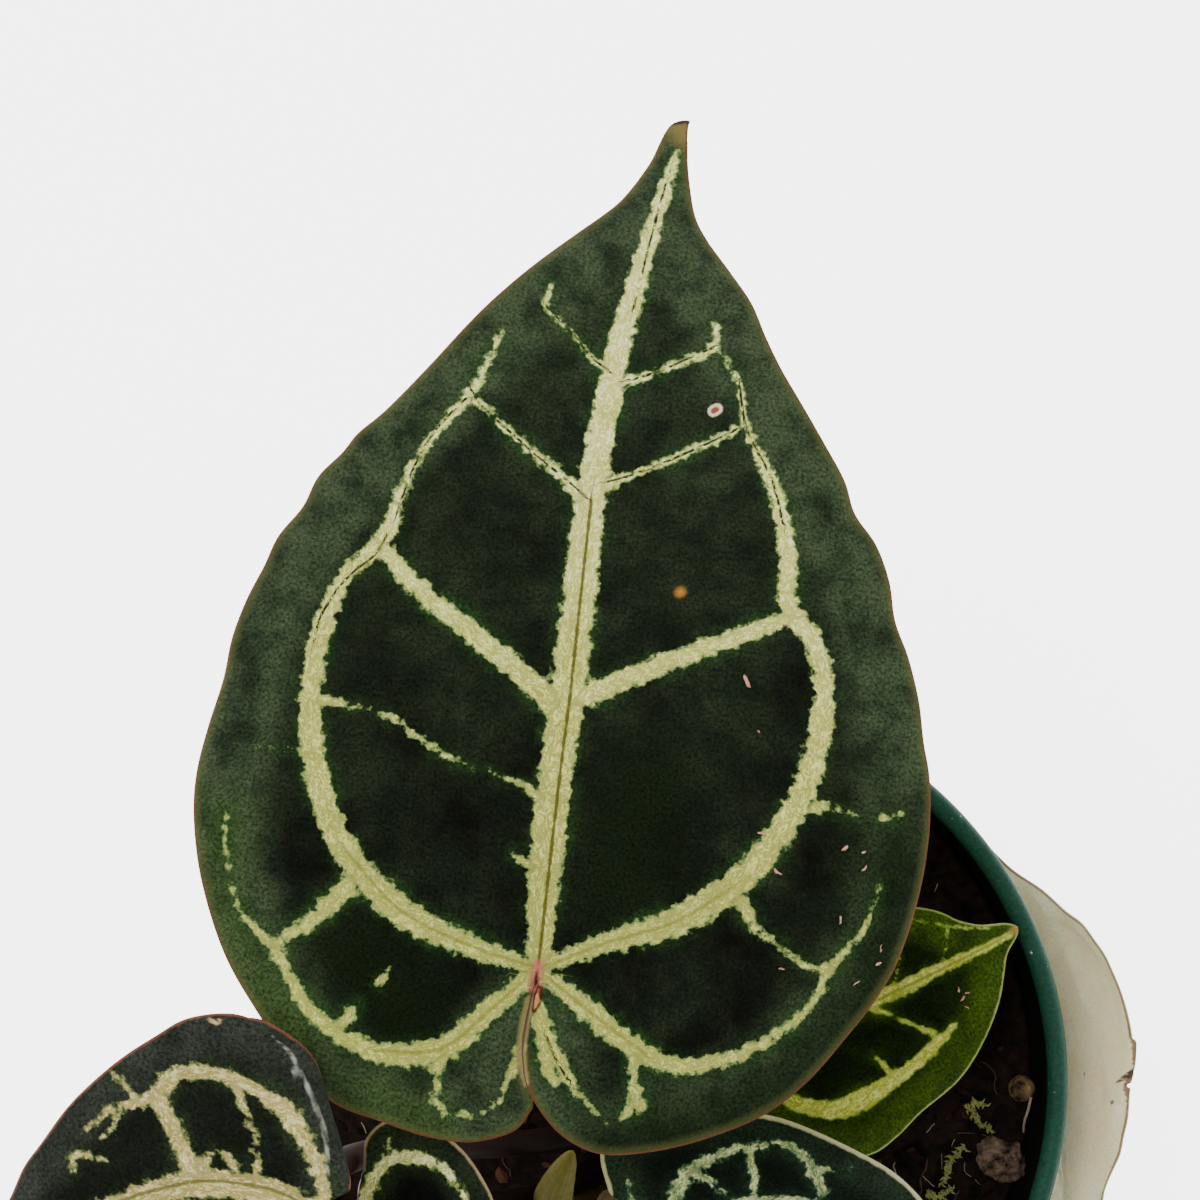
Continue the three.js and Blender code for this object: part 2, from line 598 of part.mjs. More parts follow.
for (const leaf of LEAVES) {
  const frame = leafFrame(leaf);
  leaf.halfWidth = Math.max(...leaf.right.map(([u]) => u));
  addPiece(`${leaf.name}_blade`, bladeGeometry(leaf, frame), leaf.finish);
  addPiece(`${leaf.name}_petiole`, petioleGeometry(leaf, frame), 'petiole');
}

const spearFoot = footOf(SPEAR.foot, STUB_LENGTH + GAP);
const spearCurve = new THREE.QuadraticBezierCurve3(
  spearFoot.point,
  spearFoot.point.clone().addScaledVector(spearFoot.heading, 18),
  new THREE.Vector3(...SPEAR.tip),
);
const spearRadius = (run) => SPEAR.radius * Math.sqrt(Math.max(0.02, 1 - run ** 4));
addPiece('new_leaf_spear', taperedTube(spearCurve, 10, 8, spearRadius), 'spear');

const spearPoints = [0.06, 0.16, 0.26, 0.36, 0.48].map((run) => spearCurve.getPointAt(run));
const wrap = new THREE.CatmullRomCurve3(spearPoints);
addPiece('spear_sheath', sheathGeometry(wrap, SPEAR.radius + GAP + 0.1, 0, 6), 'sheath');

[75, 0].forEach((turn, index) => {
  const low = footOf({ turn, rise: 5, height: 104 }, STEM_RADIUS + 4.2).point;
  const high = footOf({ turn, rise: 72, height: 108 }, 28).point;
  const line = new THREE.QuadraticBezierCurve3(low, low.clone().setZ(116), high);
  addPiece(`papery_sheath_${index + 1}`, sheathGeometry(line, 2.2, Math.PI, 6), 'sheath');
});

export default plant;
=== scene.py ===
# %% [markdown]
# # A potted Anthurium clarinervium
# This lesson dresses a measured plant in its pot: heart-shaped leaves with pale veins on thin stalks, a
# short stem, a round nursery pot and the mix in it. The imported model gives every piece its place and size.
# All lengths below are in millimetres and are turned into metres when a mesh is written.

# %% Load the measured model
import math

import bmesh
import bpy
import numpy as np
from mathutils import Matrix, Vector, noise


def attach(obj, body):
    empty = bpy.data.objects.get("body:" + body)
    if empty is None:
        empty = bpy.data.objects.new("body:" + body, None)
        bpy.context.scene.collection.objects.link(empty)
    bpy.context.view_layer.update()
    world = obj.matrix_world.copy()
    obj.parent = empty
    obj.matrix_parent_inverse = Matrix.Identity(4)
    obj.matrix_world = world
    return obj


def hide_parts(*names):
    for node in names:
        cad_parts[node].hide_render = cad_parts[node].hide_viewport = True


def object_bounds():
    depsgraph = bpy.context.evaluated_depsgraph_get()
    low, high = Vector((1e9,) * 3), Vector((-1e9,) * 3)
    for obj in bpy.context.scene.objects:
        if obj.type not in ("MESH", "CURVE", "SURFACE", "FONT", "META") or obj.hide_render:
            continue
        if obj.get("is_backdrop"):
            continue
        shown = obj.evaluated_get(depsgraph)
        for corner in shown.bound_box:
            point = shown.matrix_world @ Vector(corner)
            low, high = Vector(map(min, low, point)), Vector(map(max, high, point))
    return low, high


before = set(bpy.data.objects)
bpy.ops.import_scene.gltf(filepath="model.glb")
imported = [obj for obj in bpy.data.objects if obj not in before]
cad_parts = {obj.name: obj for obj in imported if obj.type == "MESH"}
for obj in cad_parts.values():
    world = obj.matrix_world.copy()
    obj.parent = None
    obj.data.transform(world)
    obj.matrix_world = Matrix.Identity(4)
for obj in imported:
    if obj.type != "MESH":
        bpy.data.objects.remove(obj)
cad_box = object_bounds()
MM = 0.001
print("nodes:", len(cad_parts), "box:", [[round(c / MM) for c in corner] for corner in cad_box])

# %% [markdown]
# ## The camera
# The plant is seen from straight above, as on a bench. A camera with no turn looks down its own Z axis with
# +Y up in the picture, so it only needs a place and a lens: 78 mm on a 36 mm sensor takes in 26 degrees.

# %% Camera above the plant
CAMERA_PLACE = (-14.4, 93.1, 610)
LENS = 77.96

camera_data = bpy.data.cameras.new("camera")
camera_data.sensor_width = 36
camera_data.lens = LENS
camera_data.clip_start = 0.01
camera = bpy.data.objects.new("camera", camera_data)
camera.location = Vector(CAMERA_PLACE) * MM
bpy.context.scene.collection.objects.link(camera)
bpy.context.scene.camera = camera
print("camera height:", CAMERA_PLACE[2], "mm")

# %% [markdown]
# ## Helpers for materials
# Colours are written as the hex values that a colour picker shows, which are sRGB, and the shader wants
# linear numbers, so one function converts them. A second one adds a node with its settings and what feeds
# it, which keeps each material readable as a list of steps.

# %% Colour and node helpers
def colour(code):
    """Linear RGBA from an sRGB hex value."""
    parts = [int(code[i:i + 2], 16) / 255 for i in (1, 3, 5)]
    return [c / 12.92 if c <= 0.04045 else ((c + 0.055) / 1.055) ** 2.4 for c in parts] + [1.0]


def wire(tree, node, inputs):
    """Set a node's inputs: a number or colour is written in, a socket or a node's first output is linked."""
    for name, value in inputs.items():
        if isinstance(value, bpy.types.Node):
            value = next(socket for socket in value.outputs if socket.enabled)
        if isinstance(value, bpy.types.NodeSocket):
            tree.links.new(value, node.inputs[name])
        else:
            node.inputs[name].default_value = value
    return node


def add(tree, kind, inputs, **settings):
    """Add a node with its settings and what feeds it."""
    node = tree.nodes.new("ShaderNode" + kind)
    for name, value in settings.items():
        setattr(node, name, value)
    return wire(tree, node, inputs)


def new_material(name):
    """An empty node material and its shader."""
    material = bpy.data.materials.new(name)
    material.use_nodes = True
    tree = material.node_tree
    shader = tree.nodes["Principled BSDF"]
    return material, tree, shader


# %% [markdown]
# ## One object for each piece
# Every mesh below becomes an object of its own at the origin, with its place kept in the mesh. The measured
# node of the same name is hidden once a finer piece stands for it.

# %% Helper that turns a mesh into a piece of the plant
def make_piece(name, mesh, materials, slot, replaces=True):
    """Link a mesh as an object that rides on the plant and stands for the measured node of its name."""
    for material in materials:
        mesh.materials.append(material)
    piece = bpy.data.objects.new(name + "_fine", mesh)
    bpy.context.scene.collection.objects.link(piece)
    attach(piece, "root")
    if replaces:
        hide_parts(name)
    print(name, "faces:", len(mesh.polygons))
    return piece


# %% [markdown]
# ## Floor and light
# A plain pale floor and two large soft lights, as in a product studio. The big overhead panel lights the
# leaves evenly, and the dim world light opens the shadows between them.

# %% Floor
FLOOR_REACH = 20000

floor_bm = bmesh.new()
bmesh.ops.create_grid(floor_bm, x_segments=1, y_segments=1, size=FLOOR_REACH * MM)
floor_mesh = bpy.data.meshes.new("floor")
floor_bm.to_mesh(floor_mesh)
floor_bm.free()
floor_material, floor_tree, floor_shader = new_material("matte white paper")
wire(floor_tree, floor_shader, {"Base Color": colour("#fbfbfa"), "Roughness": 0.9,
                                "Emission Color": colour("#ffffff"), "Emission Strength": 4.0})
floor_mesh.materials.append(floor_material)
floor = bpy.data.objects.new("floor", floor_mesh)
bpy.context.scene.collection.objects.link(floor)
floor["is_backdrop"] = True
print("floor:", 2 * FLOOR_REACH * MM, "m wide")

# %% Lights
LIT_SPOT = Vector((0, 0.04, 0.12))  # the middle of the plant, in metres like the panels' places


def soft_panel(name, place, size, power):
    """A square light panel that faces the pot."""
    data = bpy.data.lights.new(name, "AREA")
    data.shape = "SQUARE"
    data.size = size
    data.energy = power
    panel = bpy.data.objects.new(name, data)
    panel.location = Vector(place)
    aim = LIT_SPOT - panel.location
    panel.rotation_euler = aim.to_track_quat("-Z", "Y").to_euler()
    bpy.context.scene.collection.objects.link(panel)


soft_panel("overhead panel", (-0.7, 0.7, 1.9), 1.1, 48)
soft_panel("side panel", (1.6, -0.3, 1.2), 0.8, 14)
world = bpy.data.worlds.new("studio")
bpy.context.scene.world = world
world.use_nodes = True
world.node_tree.nodes["Background"].inputs["Color"].default_value = colour("#ffffff")
world.node_tree.nodes["Background"].inputs["Strength"].default_value = 0.33
print("lights:", len(bpy.data.lights), "panels and the world")

# %% [markdown]
# ## Curves drawn through a few points
# Leaf outlines, veins and stalks are all drawn with a few points each. A centripetal Catmull-Rom
# curve passes through every point without overshooting, and resampling it evenly makes it easy to measure
# from. Any further columns, such as a vein's half-width, are carried along with the coordinates.

# %% Smooth curve through points
def smooth_line(points, step, dims=2):
    """An evenly spaced curve through points; dims says how many of the columns are coordinates."""
    knots = np.array(points, float)
    knots = np.vstack([2 * knots[0] - knots[1], knots, 2 * knots[-1] - knots[-2]])
    dense = []
    for a, b, c, d in zip(knots, knots[1:], knots[2:], knots[3:]):
        t1, t2, t3 = np.cumsum([np.linalg.norm((q - p)[:dims]) ** 0.5 for p, q in ((a, b), (b, c), (c, d))])
        t = np.linspace(t1, t2, 24, endpoint=False)[:, None]
        ab = ((t1 - t) * a + t * b) / t1
        bc = ((t2 - t) * b + (t - t1) * c) / (t2 - t1)
        cd = ((t3 - t) * c + (t - t2) * d) / (t3 - t2)
        abc = ((t2 - t) * ab + t * bc) / t2
        bcd = ((t3 - t) * bc + (t - t1) * cd) / (t3 - t1)
        dense.append(((t2 - t) * abc + (t - t1) * bcd) / (t2 - t1))
    dense = np.vstack([*dense, knots[-2:-1]])
    run = np.r_[0, np.cumsum(np.linalg.norm(np.diff(dense[:, :dims], axis=0), axis=1))]
    even = np.linspace(0, run[-1], max(3, round(run[-1] / step) + 1))
    return np.stack([np.interp(even, run, column) for column in dense.T], axis=1)


def nearest_on(line, spots):
    """Each spot's gap to a line less its half-width, the nearest point, and the place across and along."""
    gap = np.full(len(spots), 1e9)
    point, flow, run = spots.copy(), np.zeros((len(spots), 2)), 0.0
    for a, b in zip(line, line[1:]):
        along = (b - a)[:2]
        length = math.hypot(*along)
        share = np.clip(((spots - a[:2]) @ along) / max(length ** 2, 1e-9), 0, 1)
        foot = a[:2] + np.outer(share, along)
        off = spots - foot
        away = np.linalg.norm(off, axis=1)
        hand = np.sign(along[0] * off[:, 1] - along[1] * off[:, 0])
        here = away - (a[2] + share * (b[2] - a[2]) if len(a) > 2 else 0)
        closer = here < gap
        gap[closer], point[closer] = here[closer], foot[closer]
        flow[closer] = np.column_stack([away * hand, run + share * length])[closer]
        run += length
    return gap, point, flow


def inside(loop, spots):
    """Which spots lie inside a closed outline."""
    odd = np.zeros(len(spots), bool)
    x, y = spots.T
    for (x1, y1), (x2, y2) in zip(loop, np.roll(loop, -1, axis=0)):
        crosses = (y1 > y) != (y2 > y)
        odd ^= crosses & (x < (x2 - x1) * (y - y1) / (y2 - y1 + 1e-12) + x1)
    return odd


# %% [markdown]
# ## The leaves' shapes
# Each blade is drawn flat: u runs across and v towards the tip, and the stalk joins at (0, 0). A side is
# drawn from the notch between the lobes round to the tip. The species' mark is its net of wide, pale veins:
# a midrib, a big loop on each side that stops short of the margin, and branches that join them. A vein's
# third number is its half-width.

# %% The largest leaf
MAIN_LEFT = [
    (3, -21), (1, -24.6), (-5, -27.5), (-8.6, -28), (-13.6, -27.9), (-20, -26.9), (-27.4, -25.5),
    (-34.8, -21), (-41.4, -14.3), (-47.7, -7), (-52.3, 0.8), (-55.4, 7.9), (-57.6, 15.9), (-58.1, 21.5),
    (-57.6, 28), (-56.5, 35.7), (-56.3, 42), (-55.2, 48), (-53.4, 54), (-52.2, 59), (-49.3, 64.6),
    (-47.9, 70), (-44.8, 74.8), (-43.2, 78), (-39.6, 82.4), (-33.5, 91.5), (-29, 99), (-25.6, 104.4),
    (-20.2, 112.2), (-14, 120.2), (-11.2, 123.6), (-8.3, 127.5), (-4.8, 135), (-2.1, 143.5), (0.8, 145),
]
MAIN_RIGHT = [
    (0, -13), (1.5, -17.8), (4.9, -22), (9, -24.8), (14.6, -26.1), (23.1, -24.2), (31.5, -20.5),
    (39, -15.7), (44.2, -10.1), (48.9, -2.8), (52.6, 3.7), (55.2, 10), (56.9, 20.6), (56.9, 30),
    (55.5, 38.8), (53.6, 44.5), (52, 50.6), (49.3, 57.5), (46.5, 62.8), (44.6, 69.1), (41.6, 74.5),
    (37.4, 78.8), (35.1, 83.5), (30.7, 89.4), (25.4, 96.6), (22.3, 101), (19.1, 106.4), (15.9, 112.4),
    (11.4, 117.8), (7.1, 122.5), (4.6, 126.1), (2.7, 131.7), (1.2, 138.5), (0.7, 143), (0.8, 145),
]
MAIN_VEINS = [
    [(0, -1, 1.4), (-1.5, 15, 2.3), (-2.5, 32, 2.4), (-2.8, 43, 2.5), (-3.6, 58, 2.4), (-4.6, 74, 2.2),
     (-4.5, 94.6, 1.8), (-3.1, 115, 1.4), (-1.6, 128, 1.0), (-0.9, 134.7, 0.7), (-0.3, 138, 0.25)],
    [(0, 0, 0.6), (-9.3, 1.2, 1.3), (-22.6, 4.9, 1.9), (-32.6, 12.4, 1.7), (-38.7, 22.3, 1.6),
     (-42.2, 34.2, 1.5), (-42.3, 47, 1.3), (-40, 55.2, 1.0), (-36.5, 60, 1.1), (-35, 63.5, 1.1),
     (-34.3, 69.6, 0.6), (-31.4, 78.6, 0.45), (-26.5, 87.3, 0.6), (-24.4, 93.9, 0.3), (-23.4, 99, 0.0)],
    [(0, 0, 0.6), (8.9, 5, 1.3), (20.5, 10.8, 1.9), (29.9, 20, 1.8), (35.8, 32, 1.7), (37.2, 44, 1.5),
     (36.4, 52, 1.3), (33.4, 57.8, 1.3), (29.5, 61.3, 1.2), (27.6, 70.8, 1.2), (25.6, 76.6, 1.0),
     (23.2, 81.9, 0.8), (17.9, 90.5, 0.3), (16, 97.3, 0.2), (11.5, 103.7, 0.1)],
    [(0, 0, 0.7), (-6.2, -7.5, 1.4), (-12.8, -14.8, 1.6), (-23.5, -16.6, 1.2), (-33.7, -12.3, 0.8),
     (-40.6, -4.3, 0.55), (-43, -2.4, 0.35), (-47.1, 0.8, 0.05), (-49.2, 5.1, -0.05), (-51.4, 10.2, 0.0),
     (-52, 15.5, -0.1)],
    [(-31.3, 7, 1.3), (-35.5, 1.5, 0.9), (-40.8, -3.5, 0.5)],
    [(0, 0, 0.7), (9.1, -5.2, 1.4), (18.6, -10.2, 1.2), (24.4, -11, 1.0), (30.5, -9.2, 0.8),
     (36, -5.9, 0.6), (40, -2.1, 0.35), (43.2, 2.3, 0.25), (44.8, 7.2, 0.4), (49.7, 15.8, -0.1),
     (50.2, 22.1, -0.3)],
    [(29.4, 15, 1.0), (33, 11, 0.3), (36.1, 9.5, 0.15), (41.2, 7.3, 0.2), (44.8, 7.2, 0.5)],
    [(-12, -15, 1.1), (-12.9, -17.9, 0.4), (-11.9, -20, 0.15), (-12.8, -22.1, 0.2)],
    [(-12.6, -22.1, 0.15), (-10, -24.2, 0.0), (-7.6, -23.7, 0.1), (-6, -23.7, 0.0)],
    [(-0.5, -12.2, 0.5), (-1.2, -15.8, 0.6), (-1.9, -18.3, 0.1), (-2.3, -20.6, -0.1), (-4.4, -22.8, 0.1)],
    [(0.9, -5.4, 0.7), (1.6, -7.4, 0.9), (2.8, -9.6, 1.1), (5.3, -12.8, 0.9), (7.8, -15.8, 0.6),
     (9.5, -17.8, 0.2)],
    [(2.6, -9, 0.8), (3.6, -12.5, 1.0), (4.3, -15, 0.9), (5.8, -16.8, 0.2)],
    [(9.5, -17.8, 0.0), (11.1, -18.9, 0.0), (14.4, -21.2, 0.0)],
    [(17.4, -11, 0.9), (17.3, -14, 0.3), (18.3, -16.2, 0.6), (19.6, -18.4, 0.4)],
    [(18.3, -16.2, 0.4), (17.8, -19, 0.3), (16.4, -20.9, 0.05)],
    [(-4, 25.5, 0.7), (-6.4, 26.6, 0.25), (-9, 27.6, -0.1), (-12.5, 28, -0.4), (-16, 28.5, -0.3),
     (-19.5, 29.3, 0.0), (-22, 30.3, 0.15), (-26.5, 32.4, 0.2), (-30, 33.9, 0.15), (-31.5, 34.3, -0.3),
     (-36, 34.4, 0.0), (-38, 34.5, 0.35), (-41, 34.6, 0.7)],
    [(-4.6, 40.5, 1.7), (-12, 45, 1.5), (-19.6, 49.4, 1.4), (-28.5, 54.2, 1.2), (-36, 60.4, 1.1)],
    [(-5.5, 74, 1.5), (-9, 76.5, 0.7), (-15.4, 80.1, 0.45), (-24.6, 86, 0.3), (-26.5, 87.3, 0.5)],
    [(-5, 96, 0.7), (-9, 98.5, 0.15), (-12.6, 101.8, 0.1), (-17.4, 105.3, 0.1), (-17.3, 106.5, 0.35),
     (-16.8, 109, 0.0)],
    [(-1.7, 41.5, 1.5), (9.3, 48.3, 1.3), (21, 55, 1.1), (30.8, 60.7, 1.0)],
    [(-2.4, 77, 1.0), (1, 79, 0.4), (8.4, 83.8, 0.4), (17.9, 90.5, 0.4)],
    [(-2.6, 94.5, 0.8), (2, 97, 0.3), (5.9, 99.8, 0.4), (11, 103.6, 0.6), (10.5, 108, 0.05)],
    [(-28.3, -13.4, 0.8), (-27, -10.8, 0.3)],
    [(-23.8, -6.4, 0.3), (-22.6, -4.2, 0.0)],
    [(38.3, 31.4, 0.7), (41.5, 31.3, 0.15), (45, 31.2, -0.3)],
    [(48.5, 31.4, 0.0), (51.8, 32.6, 0.1)],
    [(-50.5, 25.9, -0.3), (-42, 26.3, -0.3)],
    [(-1.5, 14.2, 1.6), (-3.9, 15.1, 0.5), (-6.5, 16.3, 0.0)],
]
MAIN_MARKS = {
    "groove": [[(0.1, -0.5), (-0.9, 15), (-1.9, 32), (-2.4, 43), (-3.4, 58), (-4.4, 74)]],
    # painted shade: dark lines in the creases beside some veins
    "crease_shade": [
        [(-5.5, 74.4), (-9, 76.5), (-15.4, 80.1), (-24.6, 86), (-26.3, 88)],
        [(-5, 96), (-9, 98.5), (-12.6, 101.8), (-17.4, 105.3)],
        [(-2.4, 77.4), (1, 79), (8.4, 83.8), (17.9, 90.5)],
        [(-2.6, 94.7), (2, 97), (5.9, 99.8), (11, 103.6)],
        [(26.2, 75), (23.4, 81.9), (18.2, 90), (16, 97.3)],
        [(-43.3, 43.5), (-43.1, 47.3), (-41.4, 51.9), (-39.2, 55.6), (-36.5, 58.8), (-34.8, 64)],
        [(-34.4, 66), (-33.3, 73), (-31, 80), (-27, 86.5)],
        [(-3.1, 108), (-2.2, 122), (-1.2, 134)],
        [(3.4, -10.4), (5.4, -13.4), (7.4, -15.6)],
    ],
    "seam": [
        [(-1.5, 0.2), (-9.3, 1.2), (-22.6, 4.9), (-32, 12)],
        [(1.5, 0.8), (8.9, 5), (20.5, 10.8), (27, 16.5)],
        [(-2, -2.4), (-6.2, -7.5), (-12.8, -14.6), (-23, -16.6)],
        [(2, -1.2), (9.1, -5.2), (18.6, -10.1)],
    ],
    "hub": [[(-0.1, 0.3, 0.35), (0.1, -2.8, 0.4)]],
    "slit": [[(0.1, -0.6, 0.1), (0.2, -1.8, 0.3), (0.2, -2.9, 0.2)]],
    "sliver": [[(0.8, -3, 0.25), (0.8, -4.6, 0.45), (0.6, -6.4, 0.2)]],
    "strip": [[(-0.3, -5, 0.5), (-0.6, -9, 0.5), (-0.4, -12, 0.5), (0.2, -15, 0.4), (1.3, -17.5, 0.2)]],
    "ring": [[(12.5, 92.2, 0.85), (13, 92.6, 0.85)]],
    "sore": [[(11.9, 61.1, 0.4), (12.1, 61.2, 0.4)]],
    # painted light: a lighter green along the lower left margin and lobe
    "painted_light": [
        [(-52, 14), (-49.5, 2), (-44, -7), (-36, -15)],
        [(-22, -24), (-12, -26.5)],
    ],
    # painted shade: darker patches along the lower right margin, near the stalk and right of the midrib
    "painted_shade": [
        [(53, 26), (52, 5), (45, -9), (33, -19), (18, -25)],
        [(-28, -3), (-20, -9)],
        [(12, 30), (10, 15)],
    ],
    "tip": [[(-2, 143.9, 0.3), (1, 145.2, 0.6)]],
    "tan": [[(0, 141.5, 0.2), (-0.4, 144, 1.0)]],
}
print("largest leaf:", len(MAIN_VEINS), "veins")

# %% The smaller leaves
def mirrored(side):
    """The same side of a leaf on the other hand."""
    return [(-u, v) for u, v in side]


BROAD_SIDE = [
    (1, -7.5), (4, -11), (10, -12.5), (17, -12), (23.5, -9), (28.5, -3.5), (30, 4), (27.2, 12.3),
    (23.5, 18), (17.5, 28), (11, 39), (4.5, 52), (1.5, 59), (0, 64),
]
BROAD_SEEN = [
    (1, -6.5), (4, -8.3), (10, -8.8), (16, -8.6), (20, -7.7), (22.4, -6.5), (24.5, -5.3), (27, -3.6),
    (29.3, -1.5), (30.4, 1), (30.4, 3.1), (30.1, 5), (29.1, 8.4), (26.6, 12.9), (24.1, 17.9),
    (21.3, 23.2), (18.4, 28.4), (14.6, 34.1), (12.5, 37.9), (9.3, 42.1), (4.5, 52), (1.5, 59), (0, 64),
]
ROUND_SIDE = [
    (2, -10.5), (2.5, -15.3), (5.5, -17.9), (9, -18.2), (13, -17), (17.8, -13.8), (21, -10), (23.4, -5.5),
    (24.8, 3), (24, 13), (20.5, 25), (14.5, 36), (7.5, 45), (2.5, 50), (0, 54),
]
ROUND_OPEN_SIDE = [
    (8, -7), (9.5, -12), (13, -15.2), (18, -13.5), (22.4, -6.4), (24.8, 3), (24, 13), (20.5, 25),
    (14.5, 36), (7.5, 45), (2.5, 50), (0, 54),
]
WIDE_SIDE = [
    (-1.5, -11.5), (2.5, -17), (8, -18.4), (16, -15), (23, -7), (28.6, 0), (33.2, 12.1), (35.2, 24),
    (32, 41), (24, 55), (13, 67), (4.5, 73), (0, 78),
]
WIDE_SHORT_SIDE = [
    (3, -9), (7, -13.2), (15, -13), (23.5, -7), (30, 2), (33.5, 13), (35, 26), (32, 41), (24, 55),
    (13, 67), (4.5, 73), (0, 78),
]
YOUNG_UPPER = [
    (1, -6), (5, -9.5), (13, -9), (21, -3), (25, 8), (23.6, 17), (19.5, 27), (13.9, 34.6), (9.8, 39.9),
    (6.4, 42.6), (3.8, 45.8), (1.6, 50.6), (0.1, 52),
]
YOUNG_LOWER = [
    (1, -6), (5, -9.5), (13, -9), (21, -3), (25.8, 8.1), (24.8, 14), (22.6, 19.8), (19.8, 29.4),
    (15.2, 36.8), (10, 42.7), (6, 45.8), (3.4, 47.8), (1.3, 51), (0.1, 52),
]
OLD_LOWER = [
    (1, -9), (6, -16), (15, -17.5), (24, -10), (29, 4), (30, 22), (27.5, 42), (21.5, 62), (13, 80),
    (5.5, 93), (0, 102),
]
OLD_UPPER = [
    (1, -9), (6, -16), (13, -16), (17, -9), (16, 3), (15, 10), (15.2, 14.6), (17.6, 17.6), (19.8, 20.2),
    (21, 23.3), (22.6, 26.3), (23.5, 29), (24.6, 32.1), (26.4, 34), (28.3, 35.8), (29.6, 38), (31, 40.8),
    (32.2, 43.8), (33, 47), (33.2, 50.3), (32.8, 53.6), (31.8, 57.4), (29.5, 60.7), (26.1, 64.9),
    (19.6, 69.3), (13.4, 75), (6, 82), (2.5, 91), (0, 102),
]


def usual_veins(width, length, hand, heavy=1.0):
    """The species' vein plan on one hand of a small blade of a half-width and a length."""
    plan = [
        [(0, 0, 1.3), (0.36, 0.07, 1.7), (0.62, 0.2, 1.6), (0.7, 0.36, 1.4), (0.55, 0.5, 1.1),
         (0.42, 0.66, 0.7), (0.22, 0.8, 0.3), (0.1, 0.9, 0.1)],
        [(0, 0, 1.2), (0.2, -0.09, 1.5), (0.45, -0.12, 1.2), (0.68, -0.03, 0.7), (0.8, 0.1, 0.3),
         (0.86, 0.22, 0.1)],
        [(0.52, 0.12, 1.0), (0.7, 0.02, 0.6)],
        [(0, 0.24, 1.4), (0.35, 0.32, 1.3), (0.63, 0.42, 1.0)],
        [(0, 0.48, 1.0), (0.22, 0.57, 0.7), (0.46, 0.62, 0.5)],
        [(0, 0.68, 0.7), (0.15, 0.74, 0.4), (0.27, 0.77, 0.2)],
        [(0.42, -0.12, 0.8), (0.44, -0.19, 0.3)],
    ]
    return [[(hand * a * width, v * length, w * heavy) for a, v, w in vein] for vein in plan]


def usual_midrib(length, half, bow=0.0):
    """A midrib that narrows towards the tip."""
    return [(0, -1, 0.6 * half), (0.4 * bow, 0.2 * length, half), (bow, 0.45 * length, 0.9 * half),
            (0.8 * bow, 0.7 * length, 0.65 * half), (0, 0.95 * length, 0.3 * half)]


# %% Vein nets of the smaller leaves
LEFT_VEINS = [
    [(0, -1, 1.1), (1.8, 0.8, 1.5), (2.6, 2.6, 1.9), (3.2, 5.5, 2.0), (4, 12.1, 1.9), (3.4, 18, 1.6),
     (2, 30, 1.3), (1, 44, 0.9), (0.3, 60, 0.3)],
    [(0, -1.5, 1.0), (1.5, -2.8, 0.8), (6.8, -3.1, 0.7), (10.3, -2.4, 0.9), (13.5, -1.9, 1.1),
     (16.7, -0.5, 1.1), (20.1, 3.9, 1.0), (21.1, 9.3, 0.9), (20, 12.4, 1.1), (17.6, 15, 0.8),
     (16.6, 18.8, 0.5), (15.9, 23.5, 0.3), (14.3, 26.4, 0.0)],
    [(3.6, 12.4, 1.4), (7.5, 13.3, 1.1), (11.5, 13.8, 1.0), (17.7, 14.9, 1.1)],
    [(3.8, 5.4, 0.9), (6, 4.6, 0.25), (9.8, 3.8, 0.1), (14, 3.4, 0.1), (17, 3.7, 0.2), (19.6, 4, 0.6)],
    [(5.6, 12.4, 0.9), (7.6, 10.8, 0.25), (8.9, 9.1, 0.25), (8.1, 7.6, 0.25), (5, 7.4, 0.7)],
    [(17, 17.8, 0.4), (20.2, 19.4, 0.2), (22, 20.6, 0.0)],
    [(16, 21.5, 0.2), (13.4, 22.4, 0.1), (12.5, 24.5, 0.0)],
    [(9.4, 30.5, 0.5), (11.5, 29.4, 0.2), (9, 24.5, 0.0)],
    *usual_veins(30, 60, -1, 0.7),
]
FRONT_VEINS = [
    usual_midrib(54, 1.8),
    [(0, 0, 0.9), (-2.7, -7, 0.9), (-4.8, -10.8, 1.0), (-7.2, -12.3, 0.95), (-12.1, -12.1, 0.8),
     (-15.4, -10.7, 0.5), (-18.1, -7.3, 0.35), (-20, -2, 0.1)],
    [(-5.6, -11.6, 0.4), (-6.2, -15.5, 0.0)],
    *usual_veins(24.8, 54, -1, 0.8)[:1],
    *usual_veins(24.8, 54, -1, 0.8)[2:6],
    *usual_veins(24.8, 54, 1, 0.8),
]
RIGHT_VEINS = [
    usual_midrib(78, 2.2),
    [(0, 0, 1.1), (-5.7, -3.1, 1.2), (-10.1, -4.6, 0.9), (-16.9, -2.9, 0.7), (-20.7, -0.7, 0.6),
     (-25.4, 2.8, 0.4), (-26.7, 7.1, 0.7), (-24.5, 13.2, 1.0)],
    [(-19.9, 1, 0.5), (-15.3, 6.1, 0.4), (-8, 9, 0.7)],
    [(-26.9, 10, 0.3), (-28.4, 12.6, 0.1), (-30.3, 14.4, 0.0)],
    [(-11, -4.4, 0.7), (-12, -1.5, 0.4), (-12.4, 2, 0.1)],
    [(-3, -11.1, 0.0), (-0.3, -8.2, 0.3), (-1, -3, 0.6)],
    *usual_veins(35, 78, -1, 0.8)[:1],
    *usual_veins(35, 78, -1, 0.8)[3:6],
    *usual_veins(35, 78, 1, 0.8),
]
